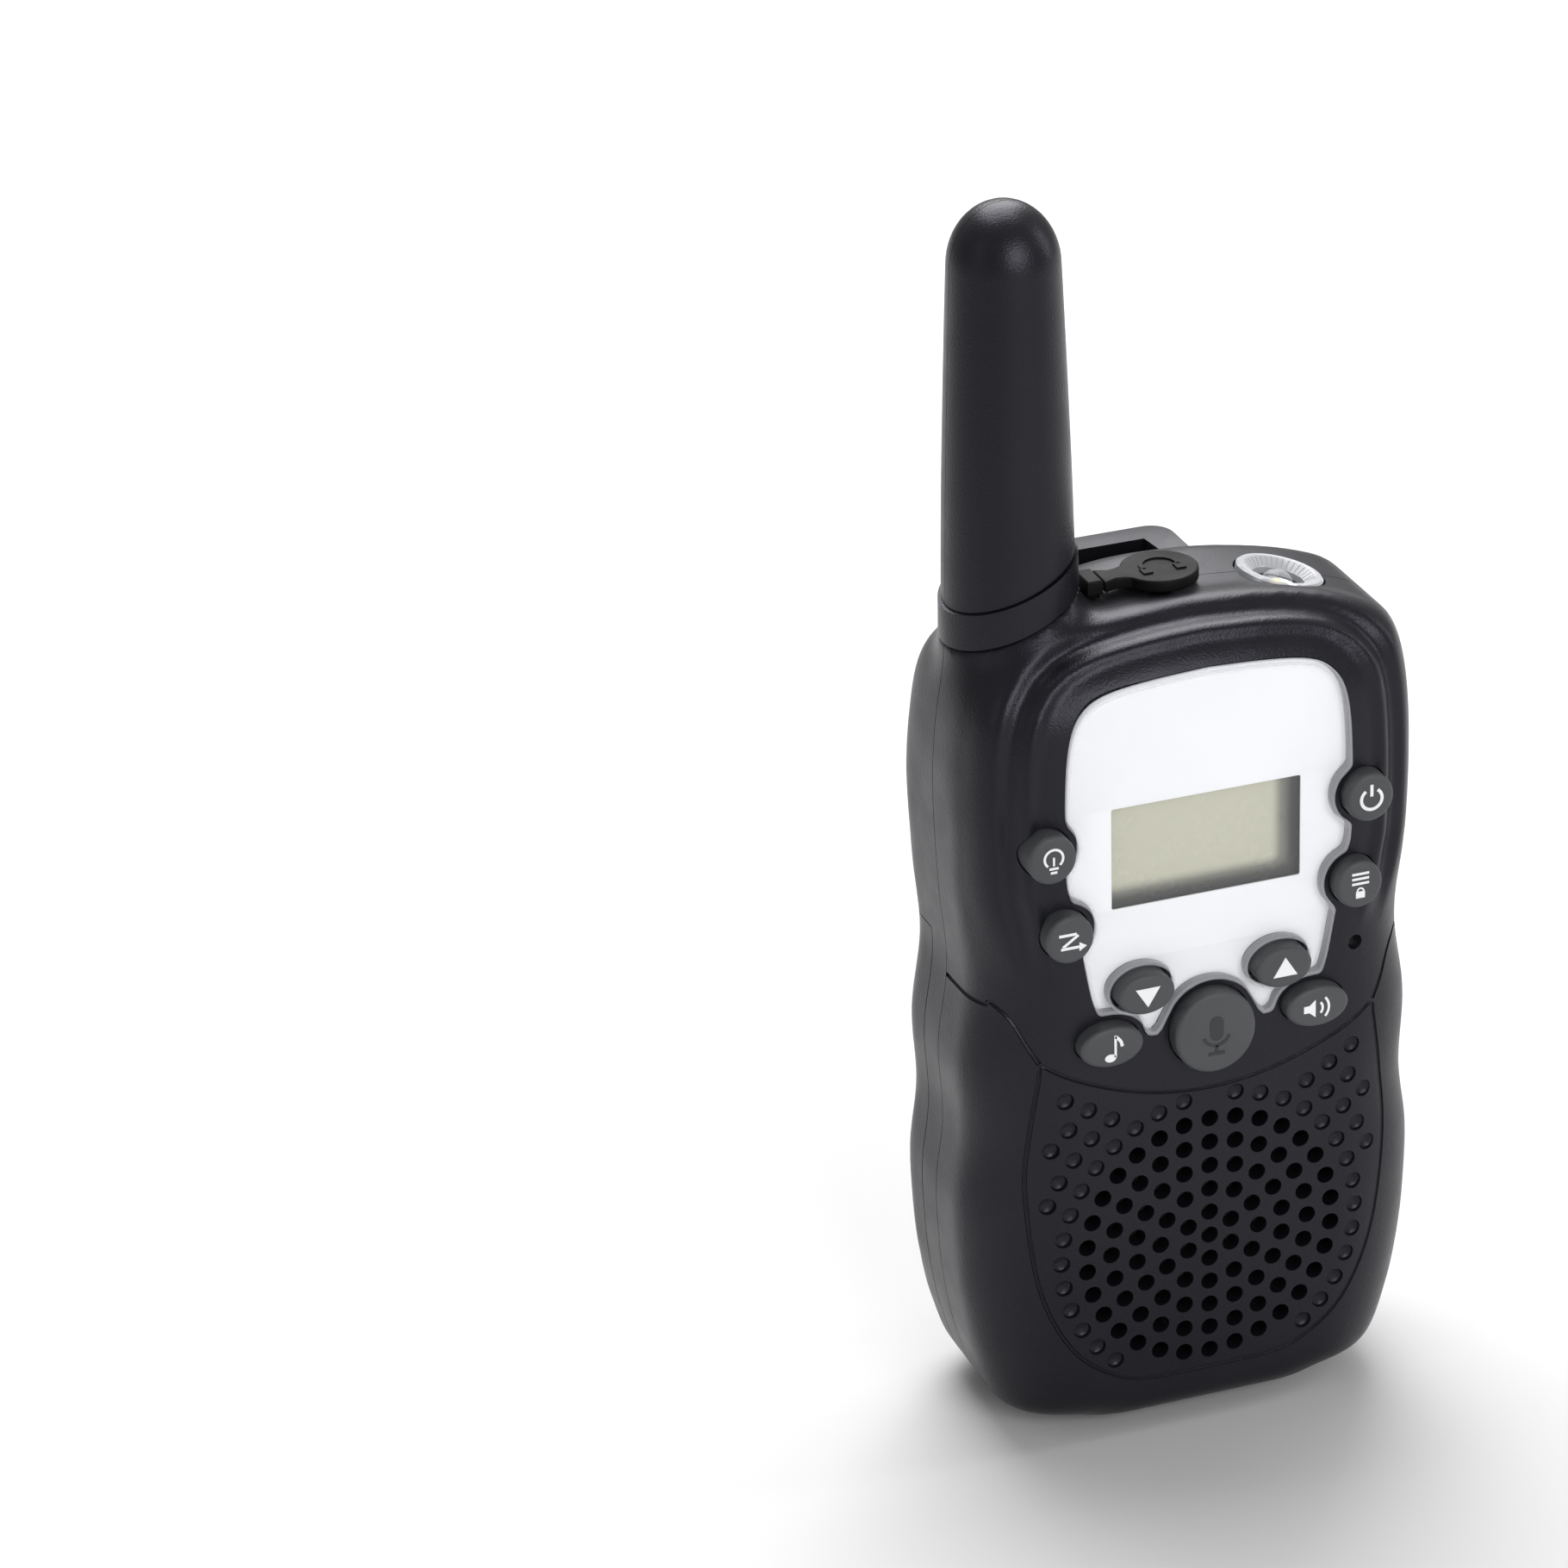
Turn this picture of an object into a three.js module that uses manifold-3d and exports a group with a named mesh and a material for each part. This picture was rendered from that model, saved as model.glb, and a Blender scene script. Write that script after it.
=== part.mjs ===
// Hand-held walkie talkie: a two-shell body with a stub antenna, display, nine keys, a speaker,
// a torch lamp, a headphone socket under a rubber cover, a sliding battery cover and a belt clip.
// Millimetres. X to the right seen from the front, +Y to the rear, +Z up. Heights are measured from a
// datum near the base, and the finished group is raised so that its foot pad stands at zero.
import * as THREE from "three";
import { LoftGeometry } from "three/addons/geometries/LoftGeometry.js";
import { mergeVertices } from "three/addons/utils/BufferGeometryUtils.js";
import Module from "manifold-3d";

// ---- driving dimensions ----
const TIP_Z = 151.6; // top of the antenna
const FOOT_Z = -4.4; // underside of the foot pad
const HALF_WIDTH = 29.4;
const BODY_TOP = 101.6;
const FOOT = 0.45; // height of the foot pad below the body
const FRONT_Y = -14;
const REAR_Y = 15;
const SEAM = 1; // plane between the front and the rear shell
const GAP = 0.3; // clearance between pieces that meet
const WALL = 2.2;

// right half of the body outline, from the middle of the base to the middle of the top: [x, z]
const OUTLINE = [
  [0, -3.95], [8, -3.95], [13, -3.9], [17, -3.2], [24, -1], [27.1, 6], [28.7, 14], [29.3, 21],
  [29.4, 28], [28.4, 36.5], [28.8, 46.4], [27.5, 56.7], [28.3, 66.8], [28.8, 77.6], [28.6, 86.5],
  [27.5, 93.5], [25.4, 96.6], [21.1, 98.5], [15.4, 100], [8, 101.2], [0, 101.6],
];
// how far the front and the rear face draw in from the outline, and over what depth
const FRONT_EDGE = { side: 12, top: 8, base: 4.5, depth: 9.5 };
const REAR_EDGE = { side: 7, top: 9, base: 4, depth: 6 };

const COVER_TOP = 59.5; // top edge of the battery cover
const COVER_Y = 5.7; // plane between the side strip and the battery cover
const PARTITION_Y = 2.6; // rear face of the wall in front of the batteries
const TRAY = { x: 22.4, rear: 11.5, z: [5.7, 57.5] };
const LEDGE_Z = [62, 63.2]; // wall between the battery bay and the upper room

const NECK = { x: -18.9, y: SEAM, radius: 8.3, slope: 0.375, seam: 101.6, joint: 106.1 };
const ANTENNA_BORE = 3.2;

const KEY_RISE = 2.1; // height of a key above the face
const FLANGE_Y = [-11.2, -10.2];
const PLUNGER_END_Y = -5.8;
// [node name, x, z, half width, half height]
const KEYS = [
  ["key_lamp", -20.5, 76.6, 2.95, 2.95], ["key_power", 19.7, 77, 2.95, 2.95],
  ["key_scan", -18.4, 65.9, 2.95, 2.95], ["key_menu", 18.4, 65.9, 2.95, 2.95],
  ["key_down", -8.8, 56.8, 3.6, 2.5], ["key_up", 8.8, 56.8, 3.6, 2.5],
  ["key_melody", -13.2, 50.7, 4, 2.5], ["key_monitor", 13.2, 50.7, 4, 2.5],
  ["key_talk", 0, 50, 5.2, 5.2],
];

const LENS = [
  [0, 96.4], [7, 96], [12.6, 95.2], [15.6, 93.6], [17.3, 90.2], [18, 83.5], [18, 72.5], [17.4, 69.4],
  [16, 61.8], [14.6, 55], [12.6, 52.2], [9, 50.6], [5.5, 50.3], [0, 50.3],
];
const LENS_Y = [-13.9, -13.0];
const MASK_Y = [-12.9, -12.7];
const RECESS_Y = -12.6;
const WINDOW = { x: 12, z: 73.7, half: 6.5 };

const SPEAKER = { z: 21.5, radius: 15.5 };
const GRILLE = { pitch: 3.2, rings: 4, hole: 1.1 };
const MIC = { x: 18.9, z: 57.2 };

const JACK = { x: 0, radius: 3.2, bore: 1.8 };
const STRAP_X = [-7.6, -4];
const LED = { x: 15.4, z: 100.1, tilt: THREE.MathUtils.degToRad(14), ring: 5.3 };

const CELL = { radius: 5.2, pitch: 10.5, y: 7.95, body: 43.5, nub: 1, low: 8.2, high: 10.5 };
const SCREWS = { upperX: 22, upperZ: 84.5, lowerX: 10.5, lowerZ: 41.2 };
const BOARD = { x: 23.2, y: [-4.2, -2.8], z: [44, 91.5] };
const POCKET = { x: 9.9, floor: 11.8, base: 77.5, lipX: 8, lipY: 13.8, lipTop: 97.2 }; // for the clip's legs
const CLIP = {
  x: 9.2, top: 99.6, arm: 1.8, legY: [12.1, 13.5], legBase: 78, tongueY: [19.5, 21.2],
  seam: 95.6, tip: 44.5, tipX: 5.5,
};
const LABEL = { x: 13.5, z: [63.9, 75.4], floor: 14.5 };

const wasm = await Module();
wasm.setup();
const walkieTalkie = new THREE.Group();

// ---- materials ----
const finish = (color, roughness, metalness = 0, opacity = 1) =>
  new THREE.MeshStandardMaterial({ color, roughness, metalness, opacity, transparent: opacity < 1 });
const BLACK = finish(0x2b2b2e, 0.5);
const RUBBER = finish(0x333436, 0.75);
const KEY_GREY = finish(0x4b4e50, 0.7);
const CLEAR = finish(0xf4f6f8, 0.05, 0, 0.3);
const SILVER = finish(0xf0f1f4, 0.35);
const WHITE = finish(0xf2f2f2, 0.6);
const LCD = finish(0xc4c4b0, 0.25);
const CIRCUIT = finish(0x1f6b3c, 0.5);
const STEEL = finish(0xb4b6b8, 0.3, 1);
const NICKEL = finish(0xd0cfc8, 0.25, 1);
const COPPER = finish(0xb87048, 0.3, 1);
const CHIP = finish(0x202022, 0.55);
const PAPER = finish(0x2a2826, 0.9);
const FERRITE = finish(0x3a3a3c, 0.7);
const CELL_WRAP = finish(0x2f6e8f, 0.4);

// ---- helpers ----
// a closed manifold solid of a three.js geometry, and the way back to a named mesh
function solid(geometry) {
  for (const name of ["normal", "uv"]) geometry.deleteAttribute(name);
  const merged = mergeVertices(geometry, 1e-4);
  const vertProperties = merged.attributes.position.array;
  const triVerts = new Uint32Array(merged.index.array);
  return new wasm.Manifold(new wasm.Mesh({ numProp: 3, vertProperties, triVerts }));
}

function add(name, shape, material) {
  const { vertProperties, triVerts } = shape.getMesh();
  const geometry = new THREE.BufferGeometry();
  geometry.setAttribute("position", new THREE.BufferAttribute(vertProperties, 3));
  geometry.setIndex(new THREE.BufferAttribute(triVerts, 1));
  const mesh = new THREE.Mesh(geometry, material);
  mesh.name = name;
  walkieTalkie.add(mesh);
}

const box = ([x0, x1], [y0, y1], [z0, z1]) =>
  solid(new THREE.BoxGeometry(x1 - x0, y1 - y0, z1 - z0)
    .translate((x0 + x1) / 2, (y0 + y1) / 2, (z0 + z1) / 2));

// elliptical rod along Y, round post along Z
const rod = (x, z, rx, rz, [y0, y1], sides = 20) =>
  solid(new THREE.CylinderGeometry(1, 1, y1 - y0, sides).scale(rx, 1, rz).translate(x, (y0 + y1) / 2, z));
const post = (x, y, radius, [z0, z1], sides = 20) =>
  solid(new THREE.CylinderGeometry(radius, radius, z1 - z0, sides).rotateX(Math.PI / 2)
    .translate(x, y, (z0 + z1) / 2));

// plate of an X-Z outline, between two depths
function plate(points, [y0, y1]) {
  const shape = new THREE.Shape(points.map(([x, z]) => new THREE.Vector2(x, z)));
  return solid(new THREE.ExtrudeGeometry(shape, { depth: y1 - y0, bevelEnabled: false })
    .rotateX(Math.PI / 2).translate(0, y1, 0));
}

// turned piece of a closed [radius, height] profile, its axis along Z
const turned = (profile, sides = 24) =>
  solid(new THREE.LatheGeometry(profile.map(([r, h]) => new THREE.Vector2(r, h)), sides)
    .rotateX(Math.PI / 2));

const mirrored = (half) => [...half, ...half.slice(1, -1).reverse().map(([x, z]) => [-x, z])];

class Helix extends THREE.Curve {
  constructor(radius0, radius1, height, turns) {
    super();
    Object.assign(this, { radius0, radius1, height, turns });
  }
  getPoint(t, target = new THREE.Vector3()) {
    const angle = 2 * Math.PI * this.turns * t;
    const radius = this.radius0 + (this.radius1 - this.radius0) * t;
    return target.set(radius * Math.cos(angle), radius * Math.sin(angle), this.height * t);
  }
}

function wireAlong(path, radius, steps, sides = 4) {
  const corner = (i) => {
    const angle = (2 * Math.PI * (i + 0.5)) / sides;
    return new THREE.Vector2(radius * Math.cos(angle), radius * Math.sin(angle));
  };
  const section = new THREE.Shape(Array.from({ length: sides }, (_, i) => corner(i)));
  return new THREE.ExtrudeGeometry(section, { steps, extrudePath: path });
}

const routed = (points, radius) =>
  solid(wireAlong(new THREE.CatmullRomCurve3(points.map((p) => new THREE.Vector3(...p))), radius, 8, 5));

// turned piece whose axis runs forwards: profile of [radius, distance in front of y = 0]
const facing = (profile, x, z, sides = 24, rx = 1, rz = 1) =>
  solid(new THREE.LatheGeometry(profile.map(([r, h]) => new THREE.Vector2(r, h)), sides)
    .rotateZ(Math.PI).scale(rx, 1, rz).translate(x, 0, z));

// ---- body form ----
// The outline drawn in by `wall`, then lofted from the front plane to the rear plane with
// quarter-ellipse edges.
function bodyForm(wall, front, rear, points, steps) {
  const half = new THREE.SplineCurve(OUTLINE.map(([x, z]) => new THREE.Vector2(x, z)))
    .getSpacedPoints(points)
    .map(({ x, y }) => [x * (1 - wall / HALF_WIDTH), y + wall * (1 - (2 * y) / BODY_TOP)]);
  const ring = mirrored(half);
  const section = (edge, draw, y) =>
    ring.map(([x, z]) => {
      const up = THREE.MathUtils.smoothstep(z, 50, BODY_TOP);
      const down = THREE.MathUtils.smoothstep(-z, -50, 0);
      const lift = edge.base * down - edge.top * up;
      return new THREE.Vector3(x * (1 - (draw * edge.side) / HALF_WIDTH), y, z + draw * lift);
    });
  const frontDepth = FRONT_EDGE.depth - wall * 0.6;
  const rearDepth = REAR_EDGE.depth - wall * 0.6;
  const sections = [];
  for (let i = 0; i <= steps; i++) {
    const a = (i / steps) * (Math.PI / 2);
    sections.push(section(FRONT_EDGE, 1 - Math.sin(a), front + frontDepth * (1 - Math.cos(a))));
  }
  for (let i = steps; i >= 0; i--) {
    const a = (i / steps) * (Math.PI / 2);
    sections.push(section(REAR_EDGE, 1 - Math.sin(a), rear - rearDepth * (1 - Math.cos(a))));
  }
  sections.forEach((points) => points.reverse());
  const loft = new LoftGeometry(sections, { capStart: true, capEnd: true });
  return solid(new THREE.BufferGeometry().copy(loft));
}

// everything below a plane that climbs towards +X about the antenna's axis
function belowSlant(height) {
  const size = 40;
  return solid(new THREE.BoxGeometry(size, size, size).translate(0, 0, -size / 2)
    .rotateY(-Math.atan(NECK.slope)).translate(NECK.x, NECK.y, height));
}

const FAR = 200;
const inFront = (y) => box([-FAR, FAR], [-FAR, y], [-FAR, FAR]);
const behind = (y) => box([-FAR, FAR], [y, FAR], [-FAR, FAR]);

// screws: [x, z, head front y, head radius]
const upperScrews = [1, -1].map((side) => [side * SCREWS.upperX, SCREWS.upperZ, 3.3, 2]);
const lowerScrews = [1, -1].map((side) => [side * SCREWS.lowerX, SCREWS.lowerZ, 2.75, 1.8]);

// lens outline grown by `grow`, scalloped round the keys beside it
function lensPlate(grow, depths) {
  const half = LENS.map(([x, z], i) => [x ? x + grow : 0, z + (i < 4 ? grow : i > 10 ? -grow : 0)]);
  let shape = plate(mirrored(half), depths);
  for (const [, x, z, rx, rz] of KEYS) {
    const inset = Math.abs(x) < 10 && x ? 0.5 : 1;
    shape = shape.subtract(rod(x, z, rx + inset - grow, rz + inset - grow, [-20, -5], 18));
  }
  return shape;
}

// the headphone socket's and the lamp's seats in the top of the shells
function topSeats() {
  const lampSeat = solid(new THREE.CylinderGeometry(LED.ring + GAP, LED.ring + GAP, 10, 28)
    .rotateX(Math.PI / 2).translate(0, 0, 3.1).rotateY(LED.tilt).translate(LED.x, SEAM, LED.z));
  const lampBore = solid(new THREE.CylinderGeometry(3.1, 3.1, 14, 20)
    .rotateX(Math.PI / 2).rotateY(LED.tilt).translate(LED.x, SEAM, LED.z));
  return lampSeat.add(lampBore)
    .add(post(JACK.x, SEAM, JACK.radius + GAP, [92, 110]))
    .add(box([-9.9, -7.9], [SEAM - 1.2, SEAM + 1.2], [97, 110]));
}

function bodyWithNeck() {
  const neck = turned([[0, 80], [9, 80], [9, 88], [8.7, 94], [NECK.radius, 99], [NECK.radius, 108],
    [0, 108]], 32).translate([NECK.x, NECK.y, 0]).intersect(belowSlant(NECK.seam - GAP / 2));
  const seat = post(NECK.x, NECK.y, NECK.radius + GAP, [90, 120], 32)
    .subtract(belowSlant(NECK.seam - GAP / 2));
  const foot = box([-10, 10], [-8, 10], [FOOT_Z, FOOT_Z + FOOT + 1.5]);
  return bodyForm(0, FRONT_Y, REAR_Y, 22, 4).subtract(seat).add(neck).add(foot);
}

const outer = bodyWithNeck();
const seats = topSeats();
const feedBore = post(NECK.x, NECK.y, ANTENNA_BORE, [80, 110]);

// ---- shells ----
// the pocket's side lips hold the clip's legs, which slide in from above
const pocket = box([-POCKET.x, POCKET.x], [POCKET.floor, POCKET.lipY], [POCKET.base, FAR])
  .add(box([-POCKET.lipX, POCKET.lipX], [POCKET.floor, FAR], [POCKET.base, FAR]))
  .add(box([-POCKET.x, POCKET.x], [POCKET.floor, FAR], [POCKET.lipTop, FAR]));

function frontShell() {
  const cavity = bodyForm(WALL, FRONT_Y + 2.5, 13, 14, 3);
  let shell = outer.intersect(inFront(SEAM - GAP / 2)).subtract(cavity);
  for (const [x, z] of [...upperScrews, ...lowerScrews]) {
    const boss = rod(x, z, 2, 2, [-11.8, SEAM - GAP / 2], 12);
    shell = shell.add(boss).subtract(rod(x, z, 1, 1, [-9, 5], 8));
  }
  shell = shell.subtract(lensPlate(GAP, [-20, RECESS_Y]))
    .subtract(box([-12.4, 12.4], [-20, -8], [WINDOW.z - 6.9, WINDOW.z + 6.9]));
  for (const [, x, z, rx, rz] of KEYS) {
    shell = shell.subtract(rod(x, z, rx + GAP, rz + GAP, [-20, -6], 16))
      .subtract(rod(x, z, rx + 0.9, rz + 0.9, [FLANGE_Y[0] - GAP, -6], 16));
  }
  for (let ring = 0; ring <= GRILLE.rings; ring++) {
    const count = Math.max(1, 6 * ring);
    for (let i = 0; i < count; i++) {
      const angle = (2 * Math.PI * i) / count + Math.PI / 2;
      const x = ring * GRILLE.pitch * Math.cos(angle);
      const z = SPEAKER.z + ring * GRILLE.pitch * Math.sin(angle);
      shell = shell.subtract(rod(x, z, GRILLE.hole, GRILLE.hole, [-20, -9], 6));
    }
  }
  shell = shell.subtract(rod(MIC.x, MIC.z, 0.85, 0.85, [-20, -8], 10))
    .subtract(rod(MIC.x, MIC.z, 2.6, 2.6, [-11.5, -6], 16));
  const speakerSeat = rod(0, SPEAKER.z, SPEAKER.radius + GAP, SPEAKER.radius + GAP, [-11.5, 0], 24);
  add("front_shell", shell.subtract(speakerSeat).subtract(seats).subtract(feedBore), BLACK);
}

// the hollow leaves the partition, the ledge, the clip pocket's wall and the screw wells standing
function rearShell() {
  let walls = box([-FAR, FAR], [-FAR, PARTITION_Y], [-FAR, LEDGE_Z[1]])
    .add(box([-FAR, FAR], [0, FAR], LEDGE_Z))
    .add(box([-11.4, 11.4], [10.3, FAR], [76, FAR]));
  for (const [x, z] of upperScrews) walls = walls.add(rod(x, z, 3.4, 3.4, [0, FAR], 20));
  const hollow = bodyForm(WALL, FRONT_Y + 2, REAR_Y - 1.9, 14, 3).subtract(walls);
  const coverSpace = box([-FAR, FAR], [COVER_Y - GAP / 2, FAR], [-FAR, COVER_TOP]);
  const cellZ = [TRAY.z[0] + 1.6, TRAY.z[1] - 1.6];
  const cells = box([-20.8, 20.8], [PARTITION_Y, FAR], cellZ);
  const tray = bodyForm(WALL + 0.1, FRONT_Y + 2, REAR_Y - 2.3, 14, 3)
    .intersect(box([-TRAY.x, TRAY.x], [PARTITION_Y - 1, TRAY.rear], TRAY.z))
    .subtract(box([-21.4, 21.4], [PARTITION_Y, FAR], cellZ));
  let shell = outer.intersect(behind(SEAM + GAP / 2))
    .subtract(hollow).subtract(coverSpace).subtract(cells).add(tray);
  for (const [x, z, y] of upperScrews) {
    shell = shell.subtract(rod(x, z, 2.3, 2.3, [y - GAP, FAR], 20))
      .subtract(rod(x, z, 1.1, 1.1, [0, 10], 8));
  }
  for (const [x, z] of lowerScrews) shell = shell.subtract(rod(x, z, 1.1, 1.1, [0, 5], 8));
  shell = shell.subtract(pocket)
    .subtract(box([-13.5, 13.5], [14.4, FAR], [79, 95]))
    .subtract(box([-LABEL.x - 0.4, LABEL.x + 0.4], [LABEL.floor, FAR],
      [LABEL.z[0] - 0.4, LABEL.z[1] + 0.4]))
    .subtract(box([-2.9, 2.9], [9.5, FAR], [86.2, 99]))
    .subtract(rod(-14, 60.4, 0.9, 0.9, [0, 4], 8));
  add("rear_shell", shell.subtract(seats).subtract(feedBore), BLACK);
}

// the cover slides down; two narrow tongues at its top edge pass between the batteries
function batteryCover() {
  const slab = outer.intersect(box([-FAR, FAR], [COVER_Y + GAP / 2, FAR], [-FAR, COVER_TOP - GAP]));
  const hollow = bodyForm(1.6, FRONT_Y, REAR_Y - 1.5, 18, 4);
  let cover = slab.subtract(hollow);
  for (const x of [-CELL.pitch, CELL.pitch]) {
    cover = cover.add(box([x - 1.4, x + 1.4], [12, 13], [50, LEDGE_Z[0] - 0.4]))
      .add(box([x - 1.4, x + 1.4], [12.5, 14], [50, 55]));
  }
  add("battery_cover", cover, BLACK);
}

// ---- antenna ----
function antenna() {
  const profile = [[0, 96], [7.9, 96], [7.85, 104], [7.55, 118], [6.9, 134], [6.6, 144]];
  const domeSteps = 6;
  const dome = Array.from({ length: domeSteps }, (_, i) => {
    const a = ((i + 1) / domeSteps) * (Math.PI / 2);
    return [i < domeSteps - 1 ? 6.6 * Math.cos(a) : 0, 144 + (TIP_Z - 144) * Math.sin(a)];
  });
  const stub = turned([...profile, ...dome]).translate([NECK.x, NECK.y, 0])
    .subtract(belowSlant(NECK.joint + GAP / 2))
    .subtract(post(NECK.x, NECK.y, ANTENNA_BORE, [90, 139], 12));
  add("antenna_front_half", stub.intersect(inFront(SEAM - GAP / 2)), BLACK);
  add("antenna_rear_half", stub.intersect(behind(SEAM + GAP / 2)), BLACK);
  const band = turned([[0, 90], [8.2, 90], [8.1, 100], [8, 114], [0, 114]], 28)
    .translate([NECK.x, NECK.y, 0]).intersect(belowSlant(NECK.joint - GAP / 2))
    .subtract(belowSlant(NECK.seam + GAP / 2)).subtract(feedBore);
  add("antenna_collar", band, BLACK);
  const coil = wireAlong(new Helix(2.3, 2.3, 43, 7), 0.45, 63, 3);
  add("antenna_coil", solid(coil).translate([NECK.x, NECK.y, 93.5]), COPPER);
}

// ---- display ----
function display() {
  const { x, z, half } = WINDOW;
  const [low, high] = [z - 8.2, z + 8];
  add("display_lens", lensPlate(0, LENS_Y), CLEAR);
  const opening = box([-x, x], [-20, 0], [z - half, z + half]);
  add("display_mask", lensPlate(-0.2, MASK_Y).subtract(opening), SILVER);
  add("lcd_glass", box([-13, 13], [-11.2, -9.2], [low, high]), LCD);
  const frame = box([-14.4, 14.4], [-11.3, -5.9], [low - 1.3, high + 1.3])
    .subtract(box([-13.3, 13.3], [-20, 0], [low - 0.3, high + 0.3]));
  add("lcd_frame", frame, WHITE);
  add("backlight_plate", box([-12.8, 12.8], [-8.9, -6.7], [low + 3.4, high]), WHITE);
  add("zebra_strip", box([-12.5, 12.5], [-8.9, -4.9], [low + 0.2, low + 2.6]), KEY_GREY);
}

// ---- keypad ----
// each key has a rounded cap, a flange behind the wall and a plunger over its dome switch
function keypad() {
  const root = -FLANGE_Y[1] + 0.1;
  const top = -FRONT_Y + KEY_RISE;
  const cap = [[0, root], [1, root], [1, top - 0.6], [0.86, top - 0.08], [0, top]];
  for (const [name, x, z, rx, rz] of KEYS) {
    const key = facing(cap, x, z, name === "key_talk" ? 20 : 14, rx, rz)
      .add(rod(x, z, rx + 0.6, rz + 0.6, FLANGE_Y, 14))
      .add(rod(x, z, 1.2, 1.2, [-root, PLUNGER_END_Y], 6));
    add(name, key, KEY_GREY);
  }
  let web = box([-22.6, 22.6], [-8.4, -7.6], [45.5, 80.5])
    .subtract(box([-14.8, 14.8], [-9, -7], [63.8, FAR]));
  for (const [, x, z] of KEYS) web = web.subtract(rod(x, z, 1.8, 1.8, [-9, -7], 6));
  add("keypad_membrane", web, RUBBER);
  const domes = box([-22.6, 22.6], [-4.7, -4.45], [45.5, 80.5])
    .subtract(box([-14.8, 14.8], [-9, 0], [63.8, FAR]));
  add("dome_sheet", domes, STEEL);
}

// ---- circuit board ----
function circuit() {
  let board = box([-BOARD.x, BOARD.x], BOARD.y, BOARD.z);
  for (const [x, z] of upperScrews) board = board.subtract(rod(x, z, 2.4, 2.4, [-10, 0], 12));
  add("main_pcb", board, CIRCUIT);
  const rear = BOARD.y[1] + GAP;
  const can = box([-9, 9], [rear, 1], [66, 84]).subtract(box([-8.6, 8.6], [-5, 0.6], [66.4, 83.6]));
  add("rf_shield", can, STEEL);
  add("main_ic", box([-5, 5], [rear, rear + 1.2], [54.5, 62.5]), CHIP);
  add("mic_capsule", rod(MIC.x, MIC.z, 2.25, 2.25, [-11.2, -9], 16), STEEL);
  add("speaker_wire", routed([
    [0, -6.9, 34.6], [0, -5.4, 39], [0, -2.7, 42.2], [0, -1.8, 45.5], [0, -1.9, 50],
  ], 0.5), CHIP);
  add("battery_wire", routed([
    [-15.75, 6, 58.2], [-15.2, 4.8, 59.6], [-14, 2.4, 60.4], [-14, 0, 60.4], [-11, -1.9, 60],
  ], 0.5), CHIP);
}

// ---- speaker ----
function speaker() {
  const { z, radius } = SPEAKER;
  add("speaker_gasket", facing([[radius - 1.6, 10.75], [radius, 10.75], [radius, 11.2],
    [radius - 1.6, 11.2], [radius - 1.6, 10.75]], 0, z), RUBBER);
  add("speaker_frame", facing([[6, 4.2], [8.6, 4.2], [14.4, 9.2], [radius, 9.2], [radius, 10.4],
    [13.7, 10.4], [13.7, 9.7], [8.2, 4.9], [6, 4.9], [6, 4.2]], 0, z, 20), STEEL);
  add("speaker_cone", facing([[0, 6.6], [3.2, 6], [12.8, 9.6], [13.3, 9.6], [13.3, 10.1],
    [12.6, 10.1], [3.2, 6.6], [2.4, 7.3], [0, 7.6]], 0, z, 20), PAPER);
  add("speaker_magnet", facing([[0, 0.4], [8, 0.4], [8, 3.9], [2.6, 3.9], [2.6, 5.4], [0, 5.4]], 0, z, 20),
    FERRITE);
}

// ---- top of the case ----
function torchAndJack() {
  const tilt = THREE.MathUtils.radToDeg(LED.tilt);
  const place = (shape) => shape.rotate([0, tilt, 0]).translate([LED.x, SEAM, LED.z]);
  const ring = [[2.8, -1.6], [LED.ring, -1.6], [LED.ring, 0], [LED.ring - 0.3, 0.25], [4.2, 0.25],
    [2.8, -0.8], [2.8, -1.6]];
  add("led_lens_ring", place(turned(ring)), CLEAR);
  const lamp = [[0, -6.5], [2.5, -6.5], [2.5, -1.6], [2.2, -0.7], [1.4, -0.1], [0, 0.15]];
  add("led_lamp", place(turned(lamp, 16)), CLEAR);
  const socket = turned([[0, 93], [JACK.radius, 93], [JACK.radius, 101.1], [JACK.bore, 101.1],
    [JACK.bore, 95.5], [0, 95.5]], 20).translate([JACK.x, SEAM, 0]);
  add("jack_socket", socket.add(box([-3.6, 3.6], [-2.5, 4.5], [86, 94.9])), CHIP);
  const cover = post(JACK.x, SEAM, 4.65, [101.9, 103.5], 28)
    .add(post(JACK.x, SEAM, JACK.bore - 0.35, [100.2, 102.2], 12))
    .add(box(STRAP_X, [SEAM - 2, SEAM + 2], [102.1, 103.2]));
  add("jack_cover", cover, RUBBER);
  const anchor = box([-9.8, STRAP_X[0] - GAP], [SEAM - 2, SEAM + 2], [101.55, 103.8])
    .add(box([-9.6, -8.2], [SEAM - 0.9, SEAM + 0.9], [97.7, 102.2]));
  add("jack_strap_anchor", anchor, RUBBER);
}

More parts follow.
